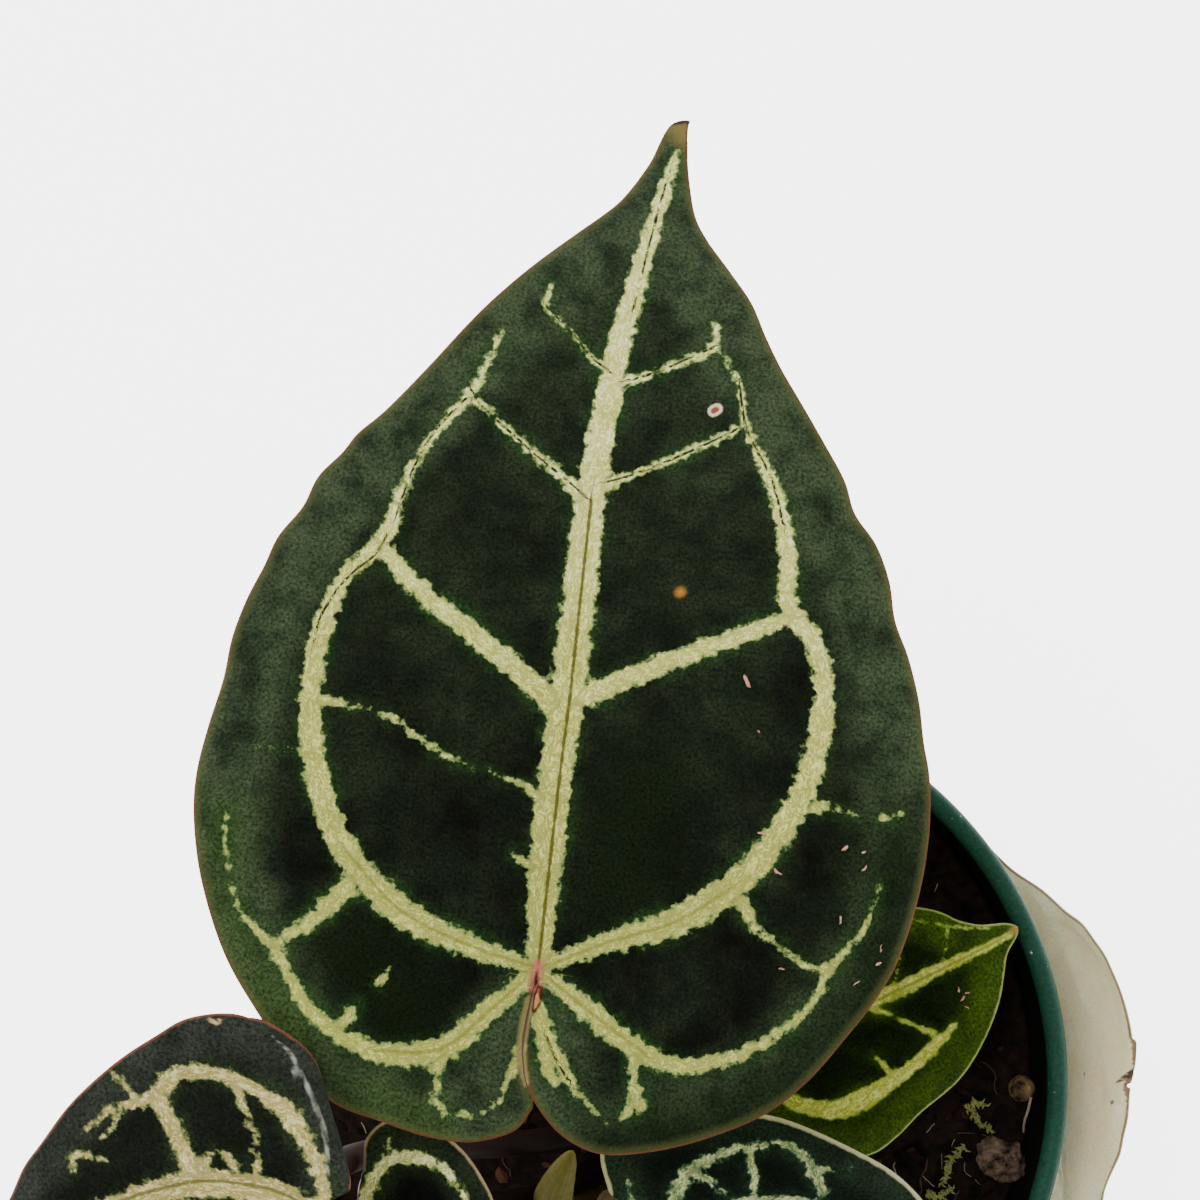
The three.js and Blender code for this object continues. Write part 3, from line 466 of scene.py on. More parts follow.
YOUNG_VEINS = [
    [(0, -1, 0.9), (-0.3, 8, 1.3), (-0.6, 18.8, 1.3), (0, 27, 1.2), (-0.2, 34, 1.0), (0.2, 42, 0.6),
     (0.4, 49.8, 0.4)],
    [(0, 0, 1.0), (6, -2.5, 1.0), (10.3, -1, 1.2), (14.9, 5.1, 1.5), (15.6, 11, 1.7), (15.1, 15.5, 1.4),
     (14, 21.5, 1.0), (11.6, 29.3, 0.7), (10, 33.6, 0.0)],
    [(0.5, 20.5, 0.5), (4, 23.6, 0.0), (9.9, 28.8, 0.3)],
    [(14.8, 18.4, 0.6), (12.2, 18.2, 0.3), (9.4, 17.2, 0.0)],
    *usual_veins(26, 52, -1, -0.3),
]
OLD_VEINS = [usual_midrib(104, 2.6), *usual_veins(30, 104, -1), *usual_veins(30, 104, 1)]

LEAVES = {
    "main_leaf": dict(
        base=(-24.1, 35.7, 205), tip=(0, 174, 170), roll=0, arch=8, fold=0.1, curl=6, bend=0, hang=0,
        wave=1.1, waves=8, lap=1.6, left=MAIN_LEFT, right=MAIN_RIGHT, veins=MAIN_VEINS, marks=MAIN_MARKS,
        spacing=0.6, foot=(115, 50, 107), reach=(45, 30), arrive=None),
    "left_leaf": dict(
        base=(-58, 2.1, 224), tip=(-112.9, -18.5, 210), roll=-10, arch=8, fold=0.06, curl=2, bend=7.5,
        hang=2.4, wave=0.6, waves=5, lap=0, left=mirrored(BROAD_SIDE), right=BROAD_SEEN, veins=LEFT_VEINS,
        marks={
            "groove": [[(1, 0), (1.9, 1), (3, 3), (3.6, 5.8), (4.3, 12.1), (3.7, 18), (2.2, 30), (1.1, 44),
                        (0.3, 60)]],
            # fold: pale lines where the lobe bends down, a painted highlight
            "fold": [[(26.6, -2.2, -0.1), (23.7, -3.8, 0.05), (19, -4.6, 0.1), (14, -5.1, 0.14),
                      (8.8, -5, 0.14), (2.1, -3.5, 0.05)],
                     [(23.5, -2.9, -0.3), (20.4, -3.6, -0.12), (16.5, -3.9, -0.12), (12.6, -3.6, -0.3)]],
            "scar": [[(29.3, 5, 0.2), (28.9, 4.2, 0.25), (29.3, 3.4, 0.15)]]},
        spacing=0.6, foot=(194, 48, 109), reach=(30, 55), arrive=(0.08, -0.08, 0.99)),
    "front_leaf": dict(
        base=(-54.8, -10.3, 190), tip=(-54.8, -63, 176), roll=0, arch=4, fold=0.1, curl=2, bend=0, hang=0,
        wave=0.6, waves=5, lap=0, left=mirrored(ROUND_SIDE), right=ROUND_OPEN_SIDE, veins=FRONT_VEINS,
        marks={"groove": [[(0, 0), (0, 25), (0, 50)]]}, spacing=0.7, foot=(222, 44, 105), reach=(35, 28),
        arrive=None),
    "right_leaf": dict(
        base=(-3.1, -16.9, 160), tip=(51.6, -68.8, 140), roll=0, arch=6, fold=0.1, curl=3, bend=0, hang=0,
        wave=0.8, waves=6, lap=0, left=mirrored(WIDE_SIDE), right=WIDE_SHORT_SIDE, veins=RIGHT_VEINS,
        marks={"groove": [[(0, 0), (0, 40), (0, 74)]]}, spacing=0.7, foot=(295, 50, 106), reach=(20, 20),
        arrive=None),
    "young_leaf": dict(
        base=(17.7, 8.6, 120), tip=(64.1, 31.5, 122), roll=0, arch=4, fold=0.12, curl=3, bend=0, hang=0,
        wave=0.5, waves=5, lap=0, left=mirrored(YOUNG_UPPER), right=YOUNG_LOWER, veins=YOUNG_VEINS,
        marks={"groove": [[(0, 0), (0, 25), (0.3, 48)]], "tip": [[(0.1, 50.6, 0.3), (0.1, 52.2, 0.5)]]},
        spacing=0.6, foot=(35, 20, 105), reach=(7, 7), arrive=None),
    "old_leaf": dict(
        base=(78, -42, 92), tip=(54, 58, 62), roll=-115, arch=12, fold=0.04, curl=2, bend=0, hang=0, wave=1.4,
        waves=5, lap=0, left=mirrored(OLD_UPPER), right=OLD_LOWER, veins=OLD_VEINS,
        marks={
            "groove": [[(0, 0), (0, 50), (0, 98)]],
            "tear": [[(-27.2, 34.6, 0.5), (-24.9, 33.9, 0.35), (-22.5, 33.4, 0.1), (-18.5, 33.2, -0.1)]],
            "freckle": [[(-20, 30, 0.4), (-20.6, 30.3, 0.2)], [(-11.5, 37, 0.25), (-11, 37.4, 0.1)]]},
        spacing=0.6, foot=(332, 42, 104), reach=(45, 38), arrive=(0.23, -0.07, -0.97)),
}
print("leaves:", ", ".join(LEAVES))

# %% [markdown]
# ## From a flat drawing to a leaf in space
# A grid is cut to the outline and its border is pulled onto the curve, which gives even, square faces right
# up to the margin. The two lobes behind the stalk are cut from grids of their own, because on the largest
# leaf one lobe lies over the other. Then every point is lifted off the flat by the same rule that shaped
# the measured blade, so the two agree.

# %% Flat blade
def flat_blade(leaf):
    """A flat mesh of the outline, with each vertex's own side kept in a layer."""
    step = leaf["spacing"]
    lines = {-1: smooth_line(leaf["left"], 0.5), 1: smooth_line(leaf["right"], 0.5)}
    loops = {side: np.vstack([(0, 0), line]) for side, line in lines.items()}
    both = np.vstack(list(lines.values()))
    width = math.ceil(np.abs(both[:, 0]).max() / step) + 1
    back = math.ceil(-both[:, 1].min() / step) + 1
    ahead = math.ceil(both[:, 1].max() / step) + 1
    over = math.ceil(8 / step)
    bm = bmesh.new()
    side_layer = bm.verts.layers.int.new("side")
    for side in (-1, 1):
        left, right = (-width, over) if side < 0 else (-over, width)
        grid = bmesh.ops.create_grid(bm, x_segments=right - left, y_segments=ahead + back, size=1)
        middle = Vector(((left + right) / 2 * step, (ahead - back) / 2 * step, 0))
        reach = Matrix.Diagonal(((right - left) / 2 * step, (ahead + back) / 2 * step, 1, 1))
        bmesh.ops.transform(bm, matrix=Matrix.Translation(middle) @ reach, verts=grid["verts"])
        for vert in grid["verts"]:
            vert[side_layer] = side
        faces = list({face for vert in grid["verts"] for face in vert.link_faces})
        spots = np.array([face.calc_center_median()[:2] for face in faces])
        own = inside(loops[side], spots)
        either = own | inside(loops[-side], spots)
        keep = np.where(spots[:, 1] > 0, either & (spots[:, 0] * side > 0), own)
        bmesh.ops.delete(bm, geom=[f for f, kept in zip(faces, keep) if not kept], context="FACES")
    seam = [vert for vert in bm.verts if abs(vert.co.x) < 1e-4 and vert.co.y > -1e-4]
    bmesh.ops.remove_doubles(bm, verts=seam, dist=1e-3)
    rim = [vert for vert in bm.verts if vert.is_boundary]
    spots = np.array([vert.co[:2] for vert in rim])
    found = {side: nearest_on(loop, spots) for side, loop in loops.items()}
    for index, vert in enumerate(rim):
        side = vert[side_layer]
        if vert.co.y > 0 and found[-side][0][index] < found[side][0][index]:
            side = -side
        vert.co.xy = found[side][1][index]
    near = {other for vert in rim for edge in vert.link_edges for other in edge.verts}
    near |= {other for vert in list(near) for edge in vert.link_edges for other in edge.verts}
    near = [vert for vert in near if not vert.is_boundary]
    for _ in range(4):
        bmesh.ops.smooth_vert(bm, verts=near, factor=0.5, use_axis_x=True, use_axis_y=True)
    return bm, lines


# %% The rule that lifts a flat point into space
HANG_START = -3.5  # where hanging lobes start to bend, behind the stalk
HANG_LIMIT = 2.2  # steepest bend of a hanging lobe, in radians
LAP_START = 0.76  # share of the margin, from the tip, past which overlapping lobes part


def leaf_axes(leaf):
    """The blade's base, and unit vectors along it, across it and up out of it."""
    base = Vector(leaf["base"])
    along = Vector(leaf["tip"]) - base
    length = along.length
    along.normalize()
    across = along.cross(Vector((0, 0, 1))).normalized()
    across.rotate(Matrix.Rotation(math.radians(-leaf["roll"]), 3, along))
    return base, along, across, across.cross(along), length


def raise_blade(leaf, u, v, share, turn, lift):
    """Where flat points lie in space. Share grows from stalk to margin, and turn runs round the margin."""
    base, along, across, up, length = leaf_axes(leaf)
    half_width = max(point[0] for point in leaf["right"])
    place, drop, tilt = v.copy(), np.zeros_like(v), np.zeros_like(v)
    if leaf["hang"] > 0:
        past = np.maximum(0, HANG_START - v)
        tilt = np.minimum(past / leaf["hang"], HANG_LIMIT)
        rest = past - leaf["hang"] * tilt
        bent = HANG_START - leaf["hang"] * np.sin(tilt) - rest * np.cos(tilt)
        place = np.where(past > 0, bent, v)
        drop = leaf["hang"] * (1 - np.cos(tilt)) + rest * np.sin(tilt)
    run = place / length
    bow = 4 * run * (1 - run)
    rise = leaf["arch"] * bow + leaf["fold"] * (np.hypot(u, 3) - 3) - drop
    rise -= leaf["curl"] * (np.abs(u) / half_width) ** 3
    rise += leaf["wave"] * share ** 3 * np.sin(2 * np.pi * leaf["waves"] * turn + 1)
    lapping = np.maximum(0, np.abs(2 * turn - 1) - LAP_START) / (1 - LAP_START)
    rise += leaf["lap"] * share * np.sign(turn - 0.5) * lapping
    return (np.array(base) + np.outer(u + leaf["bend"] * np.maximum(0, bow), across)
            + np.outer(place - lift * np.sin(tilt), along) + np.outer(rise + lift * np.cos(tilt), up))


# %% Where each flat point lies between stalk and margin
def share_and_turn(lines, spots, sides):
    """Each spot's place between the stalk and the margin, and its place round the margin."""
    share, turn = np.zeros(len(spots)), np.zeros(len(spots))
    for side, line in lines.items():
        mine = sides == side
        run = np.linspace(0, 1, len(line))
        # angles open from the tip round to the notch, so they always grow
        angle = side * (np.pi / 2 - np.unwrap(np.arctan2(line[:, 1], line[:, 0])[::-1])[::-1])
        angle = np.minimum.accumulate(angle)
        order = np.argsort(angle, kind="stable")
        reach = np.linalg.norm(line, axis=1)
        spot_angle = np.arctan2(spots[mine, 1], spots[mine, 0])
        spot_angle = side * (np.pi / 2 - spot_angle)
        spot_angle = np.where(spot_angle < -np.pi / 2, spot_angle + 2 * np.pi, spot_angle)
        edge = np.interp(spot_angle, angle[order], reach[order])
        place = np.interp(spot_angle, angle[order], run[order])
        share[mine] = np.clip(np.linalg.norm(spots[mine], axis=1) / edge, 0, 1)
        turn[mine] = 0.5 * place if side < 0 else 1 - 0.5 * place
    return share, turn


# %% [markdown]
# ## Relief and the numbers the leaf's finish reads
# The green cells swell up between the veins like quilting, and the veins lie in between. Each vertex keeps
# its distance from the nearest vein's edge, from the midrib's groove and from the margin. A shader can draw
# a crisp vein from such a distance even on a fairly coarse mesh, because a distance changes evenly from
# point to point.

# %% Build one blade
QUILT = 0.9  # how far the cells swell above the veins
QUILT_REACH = 5.0  # how far from a vein a cell has most of its height
BLADE = 0.7  # thickness of a blade, which thins out to under half of that at its margin
SIGNED = ("groove", "crease_shade", "seam")  # thin lines that keep which side of them a point is on
# the broad patches are painted light and painted shade, laid in the green under the veins
PAINTED_LIGHT_AND_SHADE = ("painted_light", "painted_shade")  # broad patches that lie in the green, under the veins


def lumps(spots, size, seed):
    """Soft repeatable lumps between about -1 and 1."""
    return np.array([noise.noise(Vector((x / size, y / size, seed))) for x, y in spots])


def build_blade(name, leaf, materials, slot, seed):
    """A blade in space, with the distances that its finish reads."""
    bm, lines = flat_blade(leaf)
    side_layer = bm.verts.layers.int["side"]
    sides = np.array([vert[side_layer] for vert in bm.verts])
    mesh = bpy.data.meshes.new(name)
    for face in bm.faces:
        face.smooth = True
    bm.to_mesh(mesh)
    bm.free()
    flat = np.zeros(len(mesh.vertices) * 3)
    mesh.vertices.foreach_get("co", flat)
    spots = flat.reshape(-1, 3)[:, :2].copy()
    # the overlap between the halves is only right with each vertex's own side; the tip belongs to both
    sides = np.where(spots[:, 1] > 0, np.where(spots[:, 0] < 0, -1, 1), sides)
    share, turn = share_and_turn(lines, spots, sides)
    vein, flow = np.full(len(spots), 1e9), np.zeros((len(spots), 3))
    for index, points in enumerate(leaf["veins"]):
        gap, _, here = nearest_on(smooth_line(points, 1.5), spots)
        closer = gap < vein
        vein[closer] = gap[closer]
        flow[closer] = np.column_stack([here, np.full(len(spots), 7.3 * index)])[closer]
    edge = np.minimum(*[nearest_on(line, spots)[0] for line in lines.values()])
    fields = {"vein": vein, "edge": edge}
    for key, drawn in leaf["marks"].items():
        fields[key] = np.full(len(spots), 1e9)
        for points in drawn:
            gap, _, here = nearest_on(smooth_line(points, 1.5), spots)
            # a groove keeps which side of it a point is on, so that its middle stays sharp
            value = here[:, 0] if key in SIGNED else gap
            fields[key] = np.where(np.abs(value) < np.abs(fields[key]), value, fields[key])
    swell = QUILT * (1 - np.exp(-np.maximum(0, vein) / QUILT_REACH)) * np.clip(edge / 4, 0, 1)
    small = 0.18 * lumps(spots, 3.0, seed) + 0.35 * lumps(spots, 11.0, seed + 9)
    sunk = -0.35 * np.clip(1 - np.abs(fields["groove"]) / 1.2, 0, 1) * np.clip(-vein, 0, 1)
    crinkled = 0.22 * lumps(flow[:, :2] * (1.0, 0.6), 1.1, seed + 5) * np.clip(0.6 - vein, 0, 1)
    lift = swell + small * np.clip(edge / 3, 0, 1) + sunk + crinkled * np.clip(edge, 0, 1)
    placed = raise_blade(leaf, spots[:, 0], spots[:, 1], share, turn, lift)
    mesh.vertices.foreach_set("co", (placed * MM).ravel())
    for key, values in fields.items():
        kept = np.clip(values, -9, 90).astype(np.float32)
        mesh.attributes.new(key, "FLOAT", "POINT").data.foreach_set("value", kept)
    plane = np.column_stack([spots, np.zeros(len(spots))])
    for key, values in (("flow", flow), ("plane", plane)):
        kept = values.astype(np.float32).ravel()
        mesh.attributes.new(key, "FLOAT_VECTOR", "POINT").data.foreach_set("vector", kept)
    piece = make_piece(name, mesh, materials, slot)
    fullness = piece.vertex_groups.new(name="fullness")
    for level in range(11):
        fit = np.nonzero(np.round(np.clip(edge / 2.5, 0, 1) * 10) == level)[0]
        fullness.add([int(i) for i in fit], level / 10, "REPLACE")
    wall = piece.modifiers.new("thickness", "SOLIDIFY")
    wall.thickness = BLADE * MM
    wall.offset = -1
    wall.vertex_group = "fullness"
    wall.thickness_vertex_group = 0.45
    wall.material_offset = 1
    wall.material_offset_rim = 2
    return piece


# %% [markdown]
# ## The finish of a velvety leaf
# The upper face is covered in tiny blunt cells that scatter light, so it looks like dark velvet: nearly
# black green seen square on, and greyer where it turns away; that grey is painted in as sheen, a lighter
# strip inside the margin. The veins are pale because the leaf lacks green tissue there, and their edges
# fray where the green creeps in. The thin margin is reddish brown.

# %% Leaf finishes
def leaf_top(name, tones, marks, fray=1.7, band_width=15.0, patch=0.25, painted_tip_light=0.0, ripen=(-60, -40)):
    """Velvety upper face with pale, frayed veins. Each mark is an attribute, a colour and where it fades."""
    material, tree, shader = new_material(name)
    tones = {key: colour(code) for key, code in tones.items()}
    plane = add(tree, "Attribute", {}, attribute_name="plane").outputs["Vector"]
    flow = add(tree, "Attribute", {}, attribute_name="flow").outputs["Vector"]
    read = {key: add(tree, "Attribute", {}, attribute_name=key).outputs["Fac"]
            for key in ("vein", "edge", *dict.fromkeys(mark[0] for mark in marks if mark[0] != "edge"))}
    # the flat drawing is in millimetres: tears are 1.7 mm apart, clouds 14 mm, and the velvet's grain 0.5 mm
    # (the real grain is under 0.1 mm, and is drawn coarser so that it shows)
    ragged = add(tree, "TexNoise", {"Vector": plane, "Scale": 0.6, "Detail": 4, "Roughness": 0.6})
    cloudy = add(tree, "TexNoise", {"Vector": plane, "Scale": 0.07, "Detail": 4, "Roughness": 0.6})
    grain = add(tree, "TexNoise", {"Vector": plane, "Scale": 1.9, "Detail": 2, "Roughness": 0.8})
    frayed = add(tree, "Math", {0: ragged, 1: 2 * fray, 2: read["vein"]}, operation="MULTIPLY_ADD")
    reach = {}
    for part, outer, inner in (("core", 0.25, -0.2), ("fringe", 0.55, 0.05), ("halo", 2.4, 0.1)):
        reach[part] = add(tree, "MapRange", {
            "Value": frayed, "From Min": outer + fray, "From Max": inner + fray},
            interpolation_type="SMOOTHSTEP")
    # green tissue: dark cells; a greyer strip inside the margin, partly the leaf's own paler margin and
    # partly painted sheen where the margin turns away; a bluish cast in places; lighter towards the tip,
    # painted light
    in_sheen_band = add(tree, "MapRange", {
        "Value": read["edge"], "From Min": band_width, "From Max": band_width * 0.4},
        interpolation_type="SMOOTHSTEP")
    apart = add(tree, "SeparateXYZ", {0: plane})
    # painted light: the green is lifted towards the tip, by painted_tip_light
    ahead = add(tree, "MapRange", {
        "Value": apart.outputs[1], "From Min": -25, "From Max": 130, "To Max": painted_tip_light})
    in_sheen_band = add(tree, "Math", {0: in_sheen_band, 1: ahead}, operation="ADD")
    sheen_band_share = add(tree, "Math", {0: cloudy, 1: 1.1, 2: in_sheen_band}, operation="MULTIPLY_ADD")
    sheen_band_share = add(tree, "Math", {0: sheen_band_share, 1: 0.55}, operation="SUBTRACT", use_clamp=True)
    green = add(tree, "Mix", {0: sheen_band_share, 6: tones["cell"], 7: tones["sheen_band"]}, data_type="RGBA")
    cast = add(tree, "TexNoise", {"Vector": plane, "Scale": 0.16, "Detail": 3, "Roughness": 0.6})
    cast = add(tree, "MapRange", {"Value": cast, "From Min": 0.42, "From Max": 0.65, "To Max": 0.7})
    green = add(tree, "Mix", {0: cast, 6: green, 7: tones["cool"]}, data_type="RGBA")
    # the painted light and painted shade patches go into the green first, under the veins
    for key, tint, near, far, strength in marks:
        if key in PAINTED_LIGHT_AND_SHADE:
            on = add(tree, "MapRange", {
                "Value": read[key], "From Min": far, "From Max": near, "To Max": strength},
                interpolation_type="SMOOTHSTEP")
            green = add(tree, "Mix", {0: on, 6: green, 7: colour(tint)}, data_type="RGBA")
    haloed = add(tree, "MapRange", {
        "Value": cloudy, "From Min": 0.42, "From Max": 0.62, "To Min": 0.05, "To Max": 0.7})
    haloed = add(tree, "Math", {0: reach["halo"], 1: haloed}, operation="MULTIPLY")
    green = add(tree, "Mix", {0: haloed, 6: green, 7: tones["halo"]}, data_type="RGBA")
    speckle = add(tree, "MapRange", {
        "Value": grain, "From Min": 0.3, "From Max": 0.7, "To Min": 0.25, "To Max": 1.9})
    green = add(tree, "Mix", {0: 1.0, 6: green, 7: speckle}, data_type="RGBA", blend_type="MULTIPLY")
    # the vein: fine wrinkles that run along it, paler towards the tip; their pale and dark stripes are partly
    # the vein's own tone and partly painted light and shade on each wrinkle
    drawn = add(tree, "Mapping", {"Vector": flow, "Scale": (1.1, 0.6, 1.0)})
    strokes = add(tree, "TexNoise", {
        "Vector": drawn, "Scale": 1.0, "Detail": 3, "Roughness": 0.55, "Distortion": 1.4})
    waves = add(tree, "Math", {0: strokes, 1: 24.0}, operation="MULTIPLY")
    waves = add(tree, "Math", {0: waves}, operation="SINE")
    ripe = add(tree, "MapRange", {
        "Value": apart.outputs[1], "From Min": ripen[0], "From Max": ripen[1], "To Min": 0.4, "To Max": 0.59})
    pale = add(tree, "Math", {0: waves, 1: 0.12, 2: ripe}, operation="MULTIPLY_ADD")
    blotch = add(tree, "TexNoise", {"Vector": plane, "Scale": 0.22, "Detail": 2})
    pale = add(tree, "Math", {0: blotch, 1: patch, 2: pale}, operation="MULTIPLY_ADD")
    pale = add(tree, "Math", {0: pale, 1: patch / 2}, operation="SUBTRACT")
    share = add(tree, "MapRange", {"Value": pale, "From Min": 0.36, "From Max": 0.62})
    # glint: a painted highlight on the palest wrinkles
    glint = add(tree, "MapRange", {"Value": pale, "From Min": 0.6, "From Max": 0.74, "To Max": 0.9})
    vein = add(tree, "Mix", {0: share, 6: tones["dark"], 7: tones["light"]}, data_type="RGBA")
    vein = add(tree, "Mix", {0: glint, 6: vein, 7: tones["bright"]}, data_type="RGBA")
    skin = add(tree, "Mix", {0: reach["fringe"], 6: green, 7: tones["fringe"]}, data_type="RGBA")
    skin = add(tree, "Mix", {0: reach["core"], 6: skin, 7: vein}, data_type="RGBA")
    for key, tint, near, far, strength in marks:
        if key in PAINTED_LIGHT_AND_SHADE:
            continue
        value = read[key]
        if key in SIGNED:
            value = add(tree, "Math", {0: value}, operation="ABSOLUTE")
        value = add(tree, "Math", {0: ragged, 1: 0.5, 2: value}, operation="MULTIPLY_ADD")
        on = add(tree, "MapRange", {
            "Value": value, "From Min": far + 0.25, "From Max": near + 0.25, "To Max": strength},
            interpolation_type="SMOOTHSTEP")
        if key in SIGNED:
            on = add(tree, "Math", {0: on, 1: reach["halo"]}, operation="MULTIPLY")
        # the crease lines, painted shade, are broken up by the vein's strokes
        if key == "crease_shade":
            broken = add(tree, "MapRange", {"Value": strokes, "From Min": 0.42, "From Max": 0.52})
            on = add(tree, "Math", {0: on, 1: broken}, operation="MULTIPLY")
        skin = add(tree, "Mix", {0: on, 6: skin, 7: colour(tint)}, data_type="RGBA")
    rough = add(tree, "MapRange", {"Value": reach["core"], "To Min": 0.66, "To Max": 0.5})
    height = add(tree, "Math", {0: waves, 1: reach["core"]}, operation="MULTIPLY")
    height = add(tree, "Math", {0: height, 1: 0.25, 2: grain}, operation="MULTIPLY_ADD")
    bump = add(tree, "Bump", {"Height": height, "Strength": 0.6, "Distance": 0.45 * MM})
    wire(tree, shader, {"Base Color": skin, "Roughness": rough, "Normal": bump, "IOR": 1.42,
                        "Specular IOR Level": 0.06, "Sheen Weight": 0.03, "Sheen Roughness": 0.45,
                        "Sheen Tint": colour("#a9b896")})
    return material


# %% [markdown]
# The underside has no velvet. It is paler and smoother, its ribs stand out a little, and the real surface
# has only soft clouds of tone, about 10 mm across, over a fine texture of two thirds of a millimetre.

# %% Finish of the underside
def leaf_underside(name, field, blush, rib, rib_strength, margin, marks=()):
    """Paler, smoother lower face with slightly raised ribs."""
    material, tree, shader = new_material(name)
    plane = add(tree, "Attribute", {}, attribute_name="plane").outputs["Vector"]
    vein = add(tree, "Attribute", {}, attribute_name="vein").outputs["Fac"]
    cloudy = add(tree, "TexNoise", {"Vector": plane, "Scale": 0.1, "Detail": 6, "Roughness": 0.65})
    fine = add(tree, "TexNoise", {"Vector": plane, "Scale": 1.5, "Detail": 4, "Roughness": 0.7})
    is_rib = add(tree, "MapRange", {"Value": vein, "From Min": 0.3, "From Max": -1.2, "To Max": rib_strength},
                 interpolation_type="SMOOTHSTEP")
    share = add(tree, "MapRange", {"Value": cloudy, "From Min": 0.35, "From Max": 0.65})
    skin = add(tree, "Mix", {0: share, 6: colour(field), 7: colour(blush)}, data_type="RGBA")
    tone = add(tree, "MapRange", {
        "Value": fine, "From Min": 0.3, "From Max": 0.7, "To Min": 0.86, "To Max": 1.1})
    skin = add(tree, "Mix", {0: 1.0, 6: skin, 7: tone}, data_type="RGBA", blend_type="MULTIPLY")
    skin = add(tree, "Mix", {0: is_rib, 6: skin, 7: colour(rib)}, data_type="RGBA")
    for key, tint, near, far, strength in (("edge", margin, 0.3, 0.7, 1.0), *marks):
        value = add(tree, "Attribute", {}, attribute_name=key).outputs["Fac"]
        on = add(tree, "MapRange", {"Value": value, "From Min": far, "From Max": near, "To Max": strength},
                 interpolation_type="SMOOTHSTEP")
        skin = add(tree, "Mix", {0: on, 6: skin, 7: colour(tint)}, data_type="RGBA")
    height = add(tree, "Math", {0: is_rib, 1: 1.2, 2: fine}, operation="MULTIPLY_ADD")
    bump = add(tree, "Bump", {"Height": height, "Strength": 0.5, "Distance": 0.4 * MM})
    wire(tree, shader, {"Base Color": skin, "Roughness": 0.55, "IOR": 1.42, "Normal": bump})
    return material


def uneven_finish(name, tint, scale, low=0.6, high=1.5, roughness=0.6):
    """One colour that varies in lightness from place to place; its lumps are 1000 / scale mm across."""
    material, tree, shader = new_material(name)
    place = add(tree, "TexCoord", {}).outputs["Object"]
    uneven = add(tree, "TexNoise", {"Vector": place, "Scale": scale, "Detail": 3})
    tone = add(tree, "MapRange", {"Value": uneven, "To Min": low, "To Max": high})
    skin = add(tree, "Mix", {0: 1.0, 6: colour(tint), 7: tone}, data_type="RGBA", blend_type="MULTIPLY")
    wire(tree, shader, {"Base Color": skin, "Roughness": roughness})
    return material


# %% [markdown]
# ## Six leaves of six ages
# A young leaf is bright yellow green, a grown one is nearly black green with cream veins, and an old one
# fades until its underside is almost white. The plan of the finish is the same for all, so each leaf only
# brings its own tones and marks. The grown leaf that lies under the largest one has its tones painted
# darker, as painted shade. A list of marks keeps what is special to one leaf, such as a scar, the painted
# highlight along a fold, and the painted shade in creases.

# %% Dress the six blades
# each mark: its attribute, its colour, the distances in mm at which it is full and gone, and its strength
MAIN_FADES = [
    # painted light and painted shade in the green: lighter on the lower left, darker on the lower right
    ("painted_light", "#33491a", 0.0, 8.0, 0.35), ("painted_shade", "#0c1706", 0.0, 15.0, 0.8),
    ("edge", "#5a5c30", 0.3, 1.8, 0.4), ("tan", "#7d6e3c", 0.0, 3.5, 0.7),
    # groove: a darker line down the midrib's groove, painted shade
    ("groove", "#4d4a12", 0.12, 0.42, 0.9), ("seam", "#7f8234", 0.1, 0.45, 0.7),
    # crease: dark lines beside some veins, painted shade
    ("crease_shade", "#1a2c0c", 0.1, 0.34, 1.0), ("edge", "#64402a", 0.12, 0.45, 1.0),
    ("strip", "#8f8150", -0.1, 0.6, 0.85), ("hub", "#b4645a", -0.2, 1.3, 0.9),
    ("slit", "#2c080a", -0.1, 0.3, 1.0), ("sliver", "#3a160c", 0.1, 0.5, 0.9),
    ("sliver", "#d08a5c", -0.2, 0.05, 1.0), ("ring", "#e0cfa6", -0.05, 0.3, 1.0),
    ("ring", "#8a4c3c", -0.45, -0.2, 1.0), ("sore", "#b07a30", -0.3, 0.9, 0.9),
    ("tip", "#3c1410", -0.1, 0.8, 1.0),
]
main_top = leaf_top("velvet leaf, full grown", dict(
    cell="#070702", cool="#08120a", sheen_band="#33402a", halo="#1e3c16", fringe="#7d9152", dark="#9ea04e",
    light="#e4e480", bright="#fbfac6"), MAIN_FADES, painted_tip_light=0.5, ripen=(10, 75))
# on every leaf the groove tone is a darker line painted as shade in the midrib's groove
dull_top = leaf_top("velvet leaf, greyer", dict(
    cell="#0d110a", cool="#141811", sheen_band="#2b2f28", halo="#26351c", fringe="#6c7444", dark="#7a743c",
    light="#bdae66", bright="#e2d6a0"),
    [("edge", "#6e4434", 0.2, 0.5, 1.0), ("groove", "#5f5c2c", 0.12, 0.42, 0.8),
     # fold: a painted highlight along the bend of the lobe
     ("fold", "#9ea092", -0.1, 0.3, 0.85), ("scar", "#c9a884", -0.1, 0.35, 1.0)], band_width=9.0)
deep_top = leaf_top("velvet leaf, in shade", dict(
    cell="#030402", cool="#060905", sheen_band="#1d2619", halo="#233318", fringe="#5e6c3a", dark="#7c7c44",
    light="#cfca84", bright="#ecebc0"),
    [("edge", "#8a7458", 0.25, 0.6, 1.0), ("groove", "#4e521f", 0.12, 0.42, 0.8)], band_width=8.0)
blue_top = leaf_top("velvet leaf, bluish", dict(
    cell="#090d07", cool="#0b140e", sheen_band="#1c281b", halo="#1a301f", fringe="#33503a", dark="#3c5c42",
    light="#a9b478", bright="#e2e0a8"),
    [("edge", "#a9a47c", 0.45, 0.9, 1.0), ("groove", "#33452c", 0.12, 0.42, 0.8)], band_width=9.0, patch=0.9)
